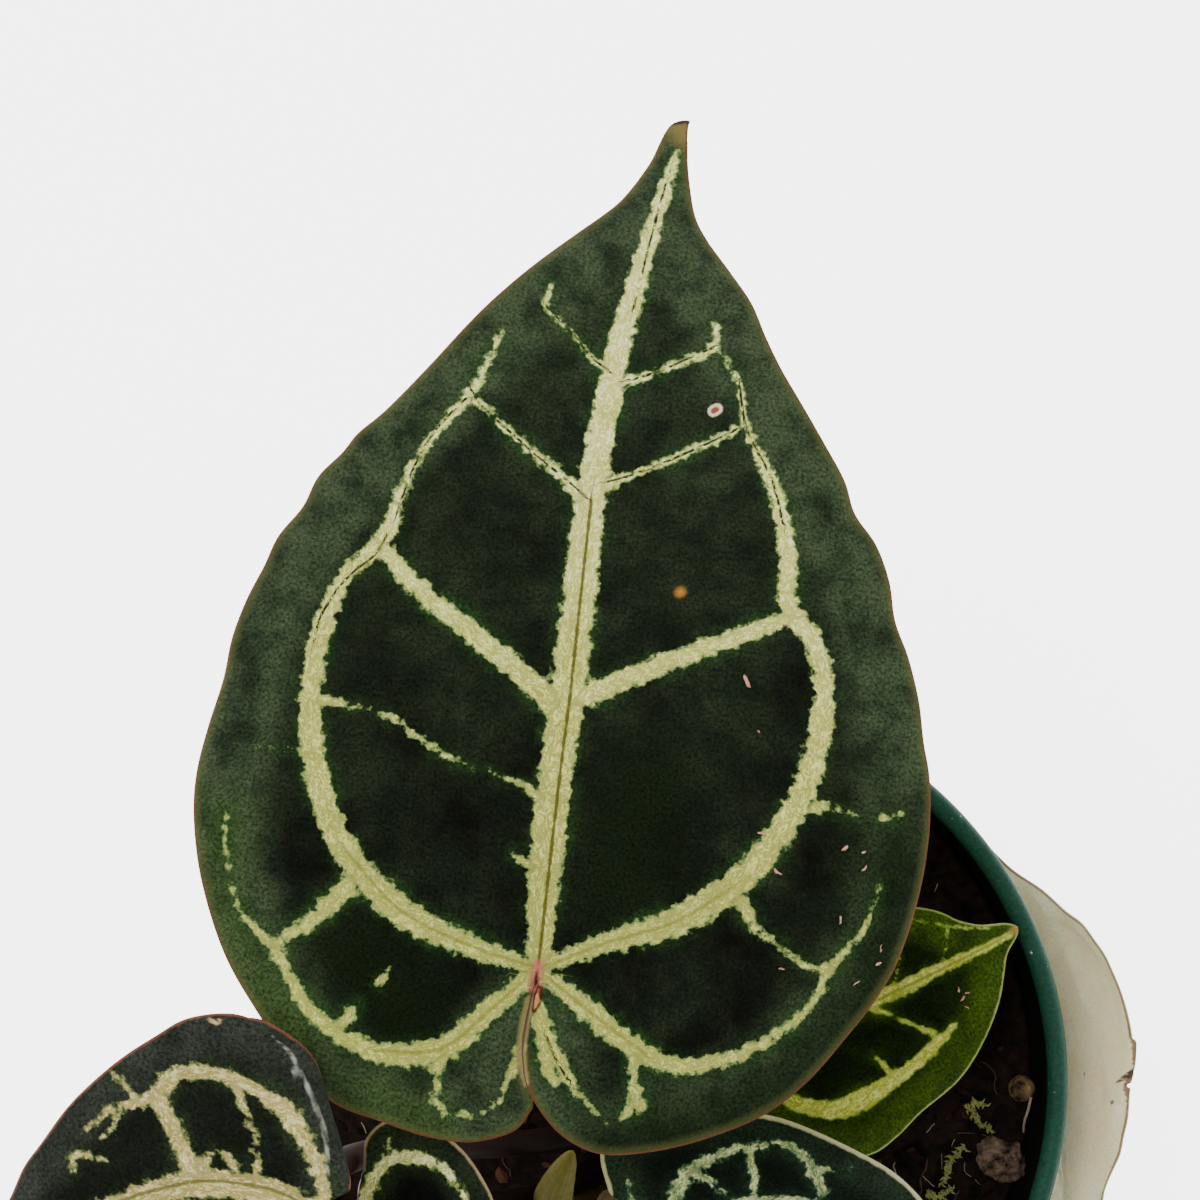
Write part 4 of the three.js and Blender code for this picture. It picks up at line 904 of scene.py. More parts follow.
fresh_top = leaf_top("young leaf", dict(
    cell="#0b1404", cool="#172607", sheen_band="#384c12", halo="#37520f", fringe="#8ba23c", dark="#858a2c",
    light="#c9c854", bright="#e8e690"),
    [("edge", "#8c9a4c", 0.1, 0.5, 1.0), ("groove", "#8f9438", 0.12, 0.4, 0.8),
     ("tip", "#9a7a40", -0.1, 0.9, 0.9)], fray=0.9, band_width=9.0)
aged_top = leaf_top("ageing leaf", dict(
    cell="#2c3528", cool="#333d2e", sheen_band="#3f4738", halo="#43503a", fringe="#6c7550", dark="#8d9068",
    light="#bdb993", bright="#d6d3b4"), [("edge", "#8a6c48", 0.2, 0.5, 1.0)])
under = leaf_underside("leaf underside", "#8d9a6e", "#7f8c62", "#a9ab7c", 0.8, "#7a5a40")
fresh_under = leaf_underside("young leaf underside", "#a0ad62", "#93a058", "#b9b878", 0.8, "#9c9a5c")
aged_under = leaf_underside("ageing leaf underside", "#fff6c8", "#ffe4b2", "#fff8d8", 0.3, "#8a6a50",
                            [("tear", "#3a2c22", -0.15, 0.25, 0.95), ("freckle", "#4a3a34", -0.1, 0.3, 0.9)])
edge_brown = uneven_finish("leaf margin", "#523624", 180)
edge_pale = uneven_finish("pale leaf margin", "#a39a66", 180)

FINISHES = {
    "main_leaf": ((main_top, under, edge_brown), "dark_leaf"),
    "left_leaf": ((dull_top, under, edge_brown), "dark_leaf"),
    "front_leaf": ((deep_top, under, edge_brown), "dark_leaf"),
    "right_leaf": ((blue_top, under, edge_pale), "dark_leaf"),
    "young_leaf": ((fresh_top, fresh_under, edge_pale), "young_leaf"),
    "old_leaf": ((aged_top, aged_under, edge_pale), "old_leaf"),
}
for seed, (leaf_name, leaf) in enumerate(LEAVES.items()):
    leaf["piece"] = build_blade(leaf_name + "_blade", leaf, *FINISHES[leaf_name], 3.7 * seed)

# %% [markdown]
# ## Stalks
# Each blade hangs on a round stalk that leaves the stem at a slant, curves up, and swells into a short knee
# under the blade. A ring is extruded along the stalk's path. The ring is carried from step to step by the
# smallest turn that keeps it square to the path, so the tube doesn't twist.

# %% Tube along a path
def sweep(bm, path, radii, sides, shape=None):
    """Extrude a ring along a path; shape bends the ring's radius by its angle. Keeps each point's place."""
    layer = bm.verts.layers.float_vector.get("place") or bm.verts.layers.float_vector.new("place")
    path = [Vector(point) for point in path]
    heading = (path[1] - path[0]).normalized()
    side = heading.orthogonal().normalized()
    ring = bmesh.ops.create_circle(bm, segments=sides, radius=1)["verts"]
    unit = [vert.co.copy() for vert in ring]
    rings, run = [], 0.0
    for step, point in enumerate(path):
        ahead = path[min(step + 1, len(path) - 1)] - path[max(step - 1, 0)]
        side.rotate(heading.rotation_difference(ahead.normalized()))
        heading = ahead.normalized()
        other = heading.cross(side)
        run += (point - path[step - 1]).length if step else 0
        if step:
            edges = {edge for vert in ring for edge in vert.link_edges if edge.other_vert(vert) in ring}
            made = bmesh.ops.extrude_edge_only(bm, edges=list(edges))["geom"]
            fresh = [item for item in made if isinstance(item, bmesh.types.BMVert)]
            ring = [next(edge.other_vert(vert) for edge in vert.link_edges if edge.other_vert(vert) in fresh)
                    for vert in ring]
        for vert, (x, y, _) in zip(ring, unit):
            angle = math.atan2(y, x)
            radius = radii[step] * (shape(angle, step / (len(path) - 1)) if shape else 1)
            vert.co = (point + side * radius * math.cos(angle) + other * radius * math.sin(angle)) * MM
            vert[layer] = (math.cos(angle), math.sin(angle), run)
        rings.append(ring)
    for end in (rings[0], rings[-1]):
        bmesh.ops.contextual_create(bm, geom=end)
    return rings


def finish_mesh(bm, name):
    """Weld, turn faces outwards, smooth and write a mesh."""
    bmesh.ops.remove_doubles(bm, verts=bm.verts, dist=1e-6)
    bmesh.ops.recalc_face_normals(bm, faces=bm.faces)
    for face in bm.faces:
        face.smooth = True
    mesh = bpy.data.meshes.new(name)
    bm.to_mesh(mesh)
    bm.free()
    return mesh


def bezier(a, b, c, d, count):
    """Points of a cubic Bezier curve."""
    return [a * (1 - t) ** 3 + 3 * b * t * (1 - t) ** 2 + 3 * c * t * t * (1 - t) + d * t ** 3
            for t in np.linspace(0, 1, count)]


# %% [markdown]
# Stalks of this species are smooth and round, green tinged with a deep maroon that is darkest low down,
# with faint lengthwise lines. The grown leaves' stalks are painted nearly black, their own maroon darkened
# further as painted shade under the leaves. The finish reads each point's place round and along the stalk.

# %% Stalk finish
def stalk_skin(name, low, high, length, roughness=0.62):
    """Smooth stalk skin, from its colour at the foot to that at the knee, with fine lengthwise lines."""
    material, tree, shader = new_material(name)
    place = add(tree, "Attribute", {}, attribute_name="place").outputs["Vector"]
    apart = add(tree, "SeparateXYZ", {0: place})
    drawn = add(tree, "Mapping", {"Vector": place, "Scale": (4, 4, 0.06)})
    lines = add(tree, "TexNoise", {"Vector": drawn, "Scale": 1.5, "Detail": 4})
    flecks = add(tree, "TexNoise", {"Vector": place, "Scale": 0.9, "Detail": 3})
    rise = add(tree, "MapRange", {"Value": apart.outputs[2], "From Min": 0.0, "From Max": length})
    mixed = add(tree, "Math", {0: lines, 1: 0.8, 2: rise}, operation="MULTIPLY_ADD")
    mixed = add(tree, "Math", {0: mixed, 1: 0.4}, operation="SUBTRACT", use_clamp=True)
    skin = add(tree, "Mix", {0: mixed, 6: colour(low), 7: colour(high)}, data_type="RGBA")
    shade = add(tree, "MapRange", {"Value": flecks, "To Min": 0.6, "To Max": 1.4})
    skin = add(tree, "Mix", {0: 1.0, 6: skin, 7: shade}, data_type="RGBA", blend_type="MULTIPLY")
    bump = add(tree, "Bump", {"Height": lines, "Strength": 0.4, "Distance": 0.2 * MM})
    wire(tree, shader, {"Base Color": skin, "Roughness": roughness, "IOR": 1.42, "Specular IOR Level": 0.1,
                        "Normal": bump})
    return material


# %% Six stalks
STEM_AXIS = (-2.5, -3)
STUB = 14.35  # how far out of the stem's axis a stalk's free part starts
STALK_RADIUS, FOOT_SWELL, KNEE_SWELL = 2.25, 1.9, 0.55
STALK_STEP = 1.6


def foot_of(foot, distance):
    """The way a stalk leaves the stem, and the point at a distance along it."""
    turn, rise, height = math.radians(foot[0]), math.radians(foot[1]), foot[2]
    heading = Vector((math.cos(turn) * math.cos(rise), math.sin(turn) * math.cos(rise), math.sin(rise)))
    return heading, Vector((*STEM_AXIS, height)) + heading * distance


for leaf_name, leaf in LEAVES.items():
    base, _, _, up, _ = leaf_axes(leaf)
    heading, start = foot_of(leaf["foot"], STUB)
    arrival = Vector(leaf["arrive"]).normalized() if leaf["arrive"] else up
    end = base - up * 1.2
    lead, approach = leaf["reach"]
    curve = bezier(start, start + heading * lead, end - arrival * approach, end, 48)
    path = [foot_of(leaf["foot"], 2)[1], foot_of(leaf["foot"], 8)[1], *curve[::4], curve[-1] + up * 0.2]
    path = smooth_line(path, STALK_STEP, dims=3)
    length = STALK_STEP * len(path)
    run = np.linspace(0, length, len(path))
    radii = STALK_RADIUS + FOOT_SWELL * np.exp(-run / 7) + 0.4 * np.exp(-run / 40)
    radii = radii + KNEE_SWELL * np.exp(-((length - run - 5) / 5) ** 2)
    stalk_bm = bmesh.new()
    sweep(stalk_bm, path, radii, 20, lambda angle, t: 1 + 0.03 * math.cos(2 * angle + 3 * t))
    # the grown leaves' stalk tones are near black: deep maroon darkened as painted shade under the leaves
    tints = ("#100403", "#1c0906") if leaf_name != "young_leaf" else ("#3c3015", "#6d7430")
    if leaf_name == "old_leaf":
        tints = ("#3a2416", "#7b6c48")
    skin = stalk_skin(leaf_name.replace("_", " ") + " stalk skin", *tints, length)
    make_piece(leaf_name + "_petiole", finish_mesh(stalk_bm, leaf_name + "_petiole"), [skin], "petiole")

# %% [markdown]
# ## Stem, new shoot and papery sheaths
# The stem is a short stub, ringed by the scars of old leaves and half buried. A new leaf comes up rolled
# into a spear, out of the papery sheath that wrapped it, and older sheaths dry to brown scraps round the
# stem.

# %% Stem
STEM_RADIUS, STEM_MIDDLE, STEM_REACH = 6.6, 86, 26.4

stem_bm = bmesh.new()
stem_run = np.arange(60, 112.5, 0.75)
stem_path = [(*STEM_AXIS, z) for z in stem_run]
stem_radii = STEM_RADIUS * np.sqrt(np.clip(1 - ((stem_run - STEM_MIDDLE) / STEM_REACH) ** 8, 0.01, 1))
stem_radii = stem_radii * (1 + 0.06 * np.sin(stem_run * 1.6) + 0.03 * np.sin(stem_run * 4.1))
sweep(stem_bm, stem_path, stem_radii, 36,
      lambda angle, t: 1 + 0.06 * noise.noise(Vector((2 * math.cos(angle), 2 * math.sin(angle), 30 * t))))


def bark_skin(name, dark, light, scale):
    """Rough, fibrous skin that drinks in light; its lumps are 1000 / scale mm across."""
    material, tree, shader = new_material(name)
    place = add(tree, "TexCoord", {}).outputs["Object"]
    rough = add(tree, "TexNoise", {"Vector": place, "Scale": scale, "Detail": 7, "Roughness": 0.65})
    spread = add(tree, "MapRange", {"Value": rough, "From Min": 0.35, "From Max": 0.68})
    skin = add(tree, "Mix", {0: spread, 6: colour(dark), 7: colour(light)}, data_type="RGBA")
    bump = add(tree, "Bump", {"Height": rough, "Strength": 0.8, "Distance": 0.6 * MM})
    wire(tree, shader, {"Base Color": skin, "Roughness": 0.85, "Specular IOR Level": 0.15, "Normal": bump})
    return material


stem_skin = bark_skin("woody stem skin", "#1d140c", "#6a5836", 260)
make_piece("stem", finish_mesh(stem_bm, "stem"), [stem_skin], "stem")

# %% New leaf, rolled up
SPEAR_FOOT = (257, 46, 104)
SPEAR_TIP = Vector((-43, -25, 162))
SPEAR_RADIUS = 2.75
spear_heading, spear_start = foot_of(SPEAR_FOOT, STUB)
spear_knee = spear_start + spear_heading * 18
spear_line = [spear_start * (1 - t) ** 2 + spear_knee * 2 * t * (1 - t) + SPEAR_TIP * t * t
              for t in np.linspace(0, 1, 80)]
spear_path = [foot_of(SPEAR_FOOT, 4)[1], *spear_line]
spear_share = np.linspace(0, 1, len(spear_path))
spear_radii = SPEAR_RADIUS * np.sqrt(np.clip(1 - spear_share ** 4, 0.004, 1))


def rolled(angle, t):
    """A rolled leaf's section: the outer wrap ends in a step that winds slowly round."""
    turn = ((angle + 0.9 * t) / (2 * math.pi)) % 1
    return 0.86 + 0.17 * turn


spear_bm = bmesh.new()
sweep(spear_bm, spear_path, spear_radii, 48, rolled)
spear_skin = stalk_skin("rolled new leaf skin", "#6b5c1c", "#a8a040", 60)
make_piece("new_leaf_spear", finish_mesh(spear_bm, "new_leaf_spear"), [spear_skin], "spear")

# %% [markdown]
# Each new leaf comes out of a sheath of its own. A fresh one is fleshy and still rolled round the stalk
# that it fed, so it is a tapering tube with the same rolled section as the shoot. Old ones dry to thin
# brown paper: a grid bent into a pointed trough and given a thickness is closest to that, torn tip
# included.

# %% Sheath of the front stalk
HOOD_POINTS = [(-9, -12, 110), (-18, -20, 121), (-23, -19, 131), (-22.3, -12.5, 142), (-19.3, -4.4, 151)]
HOOD_RADIUS = 4.8

hood_path = smooth_line(HOOD_POINTS, 1.0, dims=3)
hood_share = np.linspace(0, 1, len(hood_path))
hood_radii = HOOD_RADIUS * np.sqrt(np.clip(1 - hood_share ** 2.2, 0.006, 1))
hood_bm = bmesh.new()
sweep(hood_bm, hood_path, hood_radii, 40, rolled)
hood_skin = stalk_skin("fresh sheath skin", "#1c0e08", "#70672f", 70, roughness=0.7)
make_piece("front_sheath", finish_mesh(hood_bm, "front_sheath"), [hood_skin], "sheath", replaces=False)

# %% Papery sheaths
def sheath_piece(name, path, radius, towards, seed):
    """A thin, pointed trough round a path, open away from the side it hugs, with a ragged tip."""
    count, sides = len(path), 22
    bm = bmesh.new()
    bmesh.ops.create_grid(bm, x_segments=sides, y_segments=count - 1, size=1)
    layer = bm.verts.layers.float_vector.new("place")
    path = [Vector(point) for point in path]
    for vert in bm.verts:
        across, t = vert.co.x, (vert.co.y + 1) / 2
        step = min(count - 1, round(t * (count - 1)))
        heading = (path[min(step + 1, count - 1)] - path[max(step - 1, 0)]).normalized()
        side = (towards - heading * towards.dot(heading)).normalized()
        other = heading.cross(side)
        spread = 1.9 * (1 - t ** 2.2 * 0.92)
        angle = across * spread
        buckle = 0.10 * noise.noise(Vector((across * 2, t * 5, seed))) + 0.25 * t * t * abs(across)
        slip = 1.6 * noise.noise(Vector((across * 4, seed, 0.5))) * t
        out = (side * math.cos(angle) + other * math.sin(angle)) * radius * (1 + buckle)
        vert.co = (path[step] + heading * slip + out) * MM
        vert[layer] = (across * 3, 0.0, t * count)
    mesh = finish_mesh(bm, name)
    piece = make_piece(name, mesh, [paper_skin], "sheath")
    wall = piece.modifiers.new("thickness", "SOLIDIFY")
    wall.thickness = 0.25 * MM
    wall.offset = 0
    return piece


paper_skin = stalk_skin("dry papery sheath", "#2e2014", "#8a7450", 60, roughness=0.75)
wrap_path = spear_line[5:40]
sheath_piece("spear_sheath", wrap_path, 3.4, Vector((0.4, 1, 0.1)), 1.3)
for sheath_index, turn in enumerate((75, 0), 1):
    low = foot_of((turn, 5, 104), 11.2)[1]
    high = foot_of((turn, 72, 108), 28)[1]
    knee = Vector((low.x, low.y, 116))
    line = [low * (1 - t) ** 2 + knee * 2 * t * (1 - t) + high * t * t for t in np.linspace(0, 1, 30)]
    inward = Vector((-math.cos(math.radians(turn)), -math.sin(math.radians(turn)), 0))
    sheath_piece(f"papery_sheath_{sheath_index}", line, 2.6, -inward, 4.4 * sheath_index)

# %% [markdown]
# ## The pot
# A thin-walled nursery pot, injection-moulded in dark teal polypropylene. Its profile is spun round the
# axis, and the drainage holes are cut through the corner of the base, which is how such pots drain on a
# flat bench.

# %% Pot profile and spin
RIM_RADIUS, RIM_HEIGHT, ROLL = 76, 110, 2.0
COLLAR_RADIUS, COLLAR_FOOT, WALL_TOP, BASE_RADIUS, CHAMFER = 74, 98, 72.4, 53, 2
WALL, FLOOR = 1.7, 2.0


def inner_radius(z):
    """The pot's inner radius at a height below the collar."""
    return BASE_RADIUS + (WALL_TOP - BASE_RADIUS) * (z - CHAMFER) / (COLLAR_FOOT - CHAMFER) - WALL


def spun(points, steps):
    """Spin a half profile of (radius, height) points round the upright axis."""
    bm = bmesh.new()
    verts = [bm.verts.new((radius * MM, 0, z * MM)) for radius, z in points]
    edges = [bm.edges.new(pair) for pair in zip(verts, verts[1:])]
    bmesh.ops.spin(bm, geom=verts + edges, cent=(0, 0, 0), axis=(0, 0, 1), angle=2 * math.pi, steps=steps,
                   use_merge=True)
    bmesh.ops.remove_doubles(bm, verts=bm.verts, dist=1e-6)
    bmesh.ops.recalc_face_normals(bm, faces=bm.faces)
    return bm


roll_angles = np.radians(np.linspace(-100, 180, 15))
pot_profile = [
    (0, 0), (20, 0), (BASE_RADIUS - CHAMFER, 0), (BASE_RADIUS - 0.5, 0.5), (BASE_RADIUS, CHAMFER),
    *[(BASE_RADIUS + (WALL_TOP - BASE_RADIUS) * t, CHAMFER + (COLLAR_FOOT - CHAMFER) * t)
      for t in np.linspace(0.08, 1, 12)],
    (COLLAR_RADIUS - 0.6, COLLAR_FOOT + 0.5), (COLLAR_RADIUS - 0.1, COLLAR_FOOT + 1.2),
    *[(RIM_RADIUS - ROLL + ROLL * math.cos(a), RIM_HEIGHT - ROLL + ROLL * math.sin(a)) for a in roll_angles],
    (COLLAR_RADIUS - WALL, COLLAR_FOOT + 1.8), (inner_radius(COLLAR_FOOT - 1), COLLAR_FOOT - 1),
    (inner_radius(50), 50), (inner_radius(FLOOR), FLOOR), (0, FLOOR),
]
pot_bm = spun(pot_profile, 180)
for face in pot_bm.faces:
    face.smooth = True
    middle = face.calc_center_median() / MM
    away, z = math.hypot(middle.x, middle.y), middle.z
    # faces inside the wall and on the inner floor take the near-black second finish, painted shade
    if z < RIM_HEIGHT - 2.4 and away < (inner_radius(z) + 0.4 if z < COLLAR_FOOT else COLLAR_RADIUS - 1):
        face.material_index = 1
pot_mesh = bpy.data.meshes.new("pot")
pot_bm.to_mesh(pot_mesh)
pot_bm.free()

# %% [markdown]
# Polypropylene comes out of its mould evenly coloured and satin. Handling leaves white nicks on the rim,
# and splashes leave a dull film low down, so the finish is one colour with faint clouds of 17 mm, nicks of
# about 2 mm that only show at the rim's height, and a little dust that fades upwards.

# %% Pot finish
def pot_plastic(name, dark, light, dust):
    """Polypropylene: satin and a little chalky, with rubbed white nicks on the rim and dust low down."""
    material, tree, shader = new_material(name)
    place = add(tree, "TexCoord", {}).outputs["Object"]
    apart = add(tree, "SeparateXYZ", {0: place})
    cloudy = add(tree, "TexNoise", {"Vector": place, "Scale": 60, "Detail": 6, "Roughness": 0.65})
    fine = add(tree, "TexNoise", {"Vector": place, "Scale": 1500, "Detail": 2})
    tone = add(tree, "MapRange", {"Value": cloudy, "From Min": 0.3, "From Max": 0.7})
    skin = add(tree, "Mix", {0: tone, 6: colour(dark), 7: colour(light)}, data_type="RGBA")
    mottle = add(tree, "MapRange", {
        "Value": fine, "From Min": 0.3, "From Max": 0.7, "To Min": 0.75, "To Max": 1.3})
    skin = add(tree, "Mix", {0: 1.0, 6: skin, 7: mottle}, data_type="RGBA", blend_type="MULTIPLY")
    low = add(tree, "MapRange", {"Value": apart.outputs[2], "From Min": 0.03, "From Max": 0.0, "To Max": 0.3})
    dusty = add(tree, "Math", {0: low, 1: cloudy}, operation="MULTIPLY")
    skin = add(tree, "Mix", {0: dusty, 6: skin, 7: colour(dust)}, data_type="RGBA")
    nick = add(tree, "TexNoise", {"Vector": place, "Scale": 380, "Detail": 2, "Roughness": 0.5})
    nick = add(tree, "MapRange", {"Value": nick, "From Min": 0.7, "From Max": 0.73})
    high = add(tree, "MapRange", {
        "Value": apart.outputs[2], "From Min": 0.1085, "From Max": 0.1097, "To Max": 0.8})
    nick = add(tree, "Math", {0: nick, 1: high}, operation="MULTIPLY")
    skin = add(tree, "Mix", {0: nick, 6: skin, 7: colour("#cfd8d0")}, data_type="RGBA")
    bump = add(tree, "Bump", {"Height": fine, "Strength": 0.25, "Distance": 0.1 * MM})
    wire(tree, shader, {"Base Color": skin, "Roughness": 0.62, "IOR": 1.49, "Specular IOR Level": 0.2,
                        "Normal": bump})
    return material


# %% [markdown]
# Eight round holes cross the corner between the base and the wall, so that water runs off to the side. They
# could be modelled face by face, but a drill that is cut out of the finished pot is simpler and leaves
# clean edges, because the cut's modifier works out the new faces.

# %% Drainage holes
HOLE_COUNT, HOLE_RADIUS = 8, 4


def apply_modifiers(piece):
    """Write a piece's modifiers into its mesh."""
    shown = piece.evaluated_get(bpy.context.evaluated_depsgraph_get())
    mesh = bpy.data.meshes.new_from_object(shown)
    piece.modifiers.clear()
    piece.data = mesh


# the pot's second finish is near black: painted shade on the inner wall above the mix
pot = make_piece("pot", pot_mesh, [
    pot_plastic("teal polypropylene", "#123c2e", "#174636", "#3f5448"),
    pot_plastic("teal polypropylene, painted shade inside", "#020302", "#060805", "#1c1712")], "pot")
drill_bm = bmesh.new()
for hole in range(HOLE_COUNT):
    round_pot = Matrix.Rotation((hole + 0.5) / HOLE_COUNT * 2 * math.pi, 4, "Z")
    corner = Matrix.Translation(Vector((BASE_RADIUS - 1, 0, 0.5)) * MM)
    slanted = Matrix.Rotation(math.radians(-45), 4, "Y")
    bmesh.ops.create_cone(drill_bm, cap_ends=True, segments=24, radius1=HOLE_RADIUS * MM,
                          radius2=HOLE_RADIUS * MM, depth=16 * MM, matrix=round_pot @ corner @ slanted)
drill_mesh = bpy.data.meshes.new("drill")
drill_bm.to_mesh(drill_mesh)
drill_bm.free()
drill = bpy.data.objects.new("drill", drill_mesh)
bpy.context.scene.collection.objects.link(drill)
cut = pot.modifiers.new("holes", "BOOLEAN")
cut.operation = "DIFFERENCE"
cut.object = drill
apply_modifiers(pot)
bpy.data.objects.remove(drill)
print("pot faces:", len(pot.data.polygons))

# %% [markdown]
# ## Potting mix
# Aroids grow in a loose, chunky mix of bark, fibre and peat. A lumpy top surface is spun inside the pot,
# and chips, fibres and scraps of moss are scattered on it. Each chip keeps a shade of its own.

# %% Mix surface
MIX_LEVEL, MIX_CROWN, GAP = 98, 3, 0.35
mix_edge = inner_radius(MIX_LEVEL) - GAP


def mix_height(x, y):
    """Height of the mix at a place, in millimetres."""
    away = math.hypot(x, y) / mix_edge
    soft = noise.noise(Vector((x / 9, y / 9, 2.2))) * 1.3 + noise.noise(Vector((x / 3.2, y / 3.2, 7.7))) * 1.3
    return MIX_LEVEL + MIX_CROWN * (1 - away ** 2) + soft * min(1, 8 * (1 - away))


mix_profile = [(0, MIX_LEVEL)] + [(mix_edge * t, MIX_LEVEL) for t in np.linspace(0.014, 1, 72)]
mix_profile += [(inner_radius(50) - GAP, 50), (inner_radius(FLOOR) - GAP, FLOOR + GAP), (0, FLOOR + GAP)]
mix_bm = spun(mix_profile, 220)
for vert in mix_bm.verts:
    if vert.co.z > 97.9 * MM:
        x, y = vert.co.x / MM, vert.co.y / MM
        fine = 0.35 * noise.noise(Vector((x / 1.1, y / 1.1, 4.1)))
        away = math.hypot(x, y) / mix_edge
        vert.co.z = (mix_height(x, y) + fine * min(1, 8 * (1 - away))) * MM
mix_skin = bark_skin("damp peat and fibre", "#020101", "#24140e", 420)
make_piece("potting_mix", finish_mesh(mix_bm, "potting_mix"), [mix_skin], "mix")

# %% [markdown]
# The chips are broken bark from a millimetre to five across, nearly black when damp and tan where they
# dried. A rounded lump with its points pushed about at random is enough at that size, so one mesh holds
# them all, and an attribute gives every chip a shade of its own. Two seeds make each run the same: one for
# the draws, and one for the vector noise on the flakes, which would otherwise start from the clock.

# %% Chips of bark
CHIP_COUNT = 900
random = np.random.default_rng(11)
noise.seed_set(11)


def chip_finish():
    """Broken bark: each chip has a shade of its own, from nearly black to tan."""
    material, tree, shader = new_material("broken bark chips")
    place = add(tree, "TexCoord", {}).outputs["Object"]
    shade = add(tree, "Attribute", {}, attribute_name="shade").outputs["Fac"]
    rough = add(tree, "TexNoise", {"Vector": place, "Scale": 700, "Detail": 5, "Roughness": 0.65})
    mixed = add(tree, "Math", {0: rough, 1: 0.35, 2: shade}, operation="MULTIPLY_ADD")
    ramp = add(tree, "ValToRGB", {"Fac": mixed})
    stops = ((0.2, "#030101"), (0.55, "#1a0c09"), (0.8, "#3c2018"), (1.0, "#64402f"))
    marks = [ramp.color_ramp.elements[0], *[ramp.color_ramp.elements.new(stop) for stop, _ in stops[1:-1]]]
    for mark, (stop, code) in zip([*marks, ramp.color_ramp.elements[-1]], stops):
        mark.position, mark.color = stop, colour(code)
    bump = add(tree, "Bump", {"Height": rough, "Strength": 0.7, "Distance": 0.3 * MM})
    wire(tree, shader, {"Base Color": ramp, "Roughness": 0.88, "Specular IOR Level": 0.15, "Normal": bump})
    return material


chip_bm = bmesh.new()
shade_layer = chip_bm.verts.layers.float.new("shade")
for _ in range(CHIP_COUNT):
    away = (mix_edge - 4.5) * math.sqrt(random.uniform(0.01, 1))
    turn = random.uniform(0, 2 * math.pi)
    x, y = away * math.cos(turn), away * math.sin(turn)
    size = 0.5 + 2.4 * random.beta(1.2, 2.4)
    shape = Matrix.Diagonal((size, size * random.uniform(0.4, 0.9), size * random.uniform(0.2, 0.5), 1))
    tumble = Matrix.Rotation(random.uniform(0, 6.28), 4, "Z") @ Matrix.Rotation(random.normal(0, 0.4), 4, "X")
    spot = Matrix.Translation((x, y, mix_height(x, y) + size * 0.1))
    made = bmesh.ops.create_icosphere(chip_bm, subdivisions=1, radius=1,
                                      matrix=Matrix.Scale(MM, 4) @ spot @ tumble @ shape)["verts"]
    shade = random.beta(1.0, 2.4)
    centre = Vector((x, y, mix_height(x, y))) * MM
    for vert in made:
        vert.co += (vert.co - centre) * random.uniform(-0.22, 0.22)
        vert[shade_layer] = shade
chip_mesh = bpy.data.meshes.new("mix_chips")
chip_bm.to_mesh(chip_mesh)
chip_bm.free()
make_piece("mix_chips", chip_mesh, [chip_finish()], "mix", replaces=False)

# %% [markdown]
# Coir fibres and thin roots lie about on the mix, with a few sprigs of dried moss near the pot's wall. All
# of them are thin tubes along wandering paths, and a sprig's leaves are short tapering tubes on its stalk.

# %% Fibres, a root and moss
def wander(x, y, bearing, count, step, sway, rise):
    """A path that wanders over the mix."""
    points = []
    for _ in range(count):
        points.append((x, y, mix_height(x, y) + random.uniform(*rise)))
        bearing += random.normal(0, sway)
        x, y = x + step * math.cos(bearing), y + step * math.sin(bearing)
    return points


def strands(name, paths, tint, slot, low=0.5, high=1.5):
    """Thin tubes along paths, each with its radii, as one piece."""
    bm = bmesh.new()
    for points, radii in paths:
        sweep(bm, points, radii, 5)
    finish = uneven_finish(name.replace("_", " "), tint, 300, low, high, 0.8)
    make_piece(name, finish_mesh(bm, name), [finish], slot, replaces=False)


def scattered(amount, reach):
    """Places and bearings spread evenly over the mix."""
    for _ in range(amount):
        away, turn = reach * math.sqrt(random.uniform(0.02, 1)), random.uniform(0, 2 * math.pi)
        yield away * math.cos(turn), away * math.sin(turn), random.uniform(0, 2 * math.pi)


FIBRE_COUNT, ROOTLET_COUNT = 140, 170
ROOT_POINTS = [(69.8, -4, 102.4), (69.3, -6.6, 102), (68.7, -9.2, 101), (68.8, -11.5, 99.6)]
MOSS = [
    [(57.4, -6.2), (59.2, -8), (60.4, -9.6), (62.4, -10.9)],
    [(56.8, -14.2), (54.6, -16.4), (53.8, -19), (53, -21.2)],
    [(49.6, -23), (52.1, -23.8), (54.4, -22.3)], [(58.6, -5.4), (61, -6)],
]

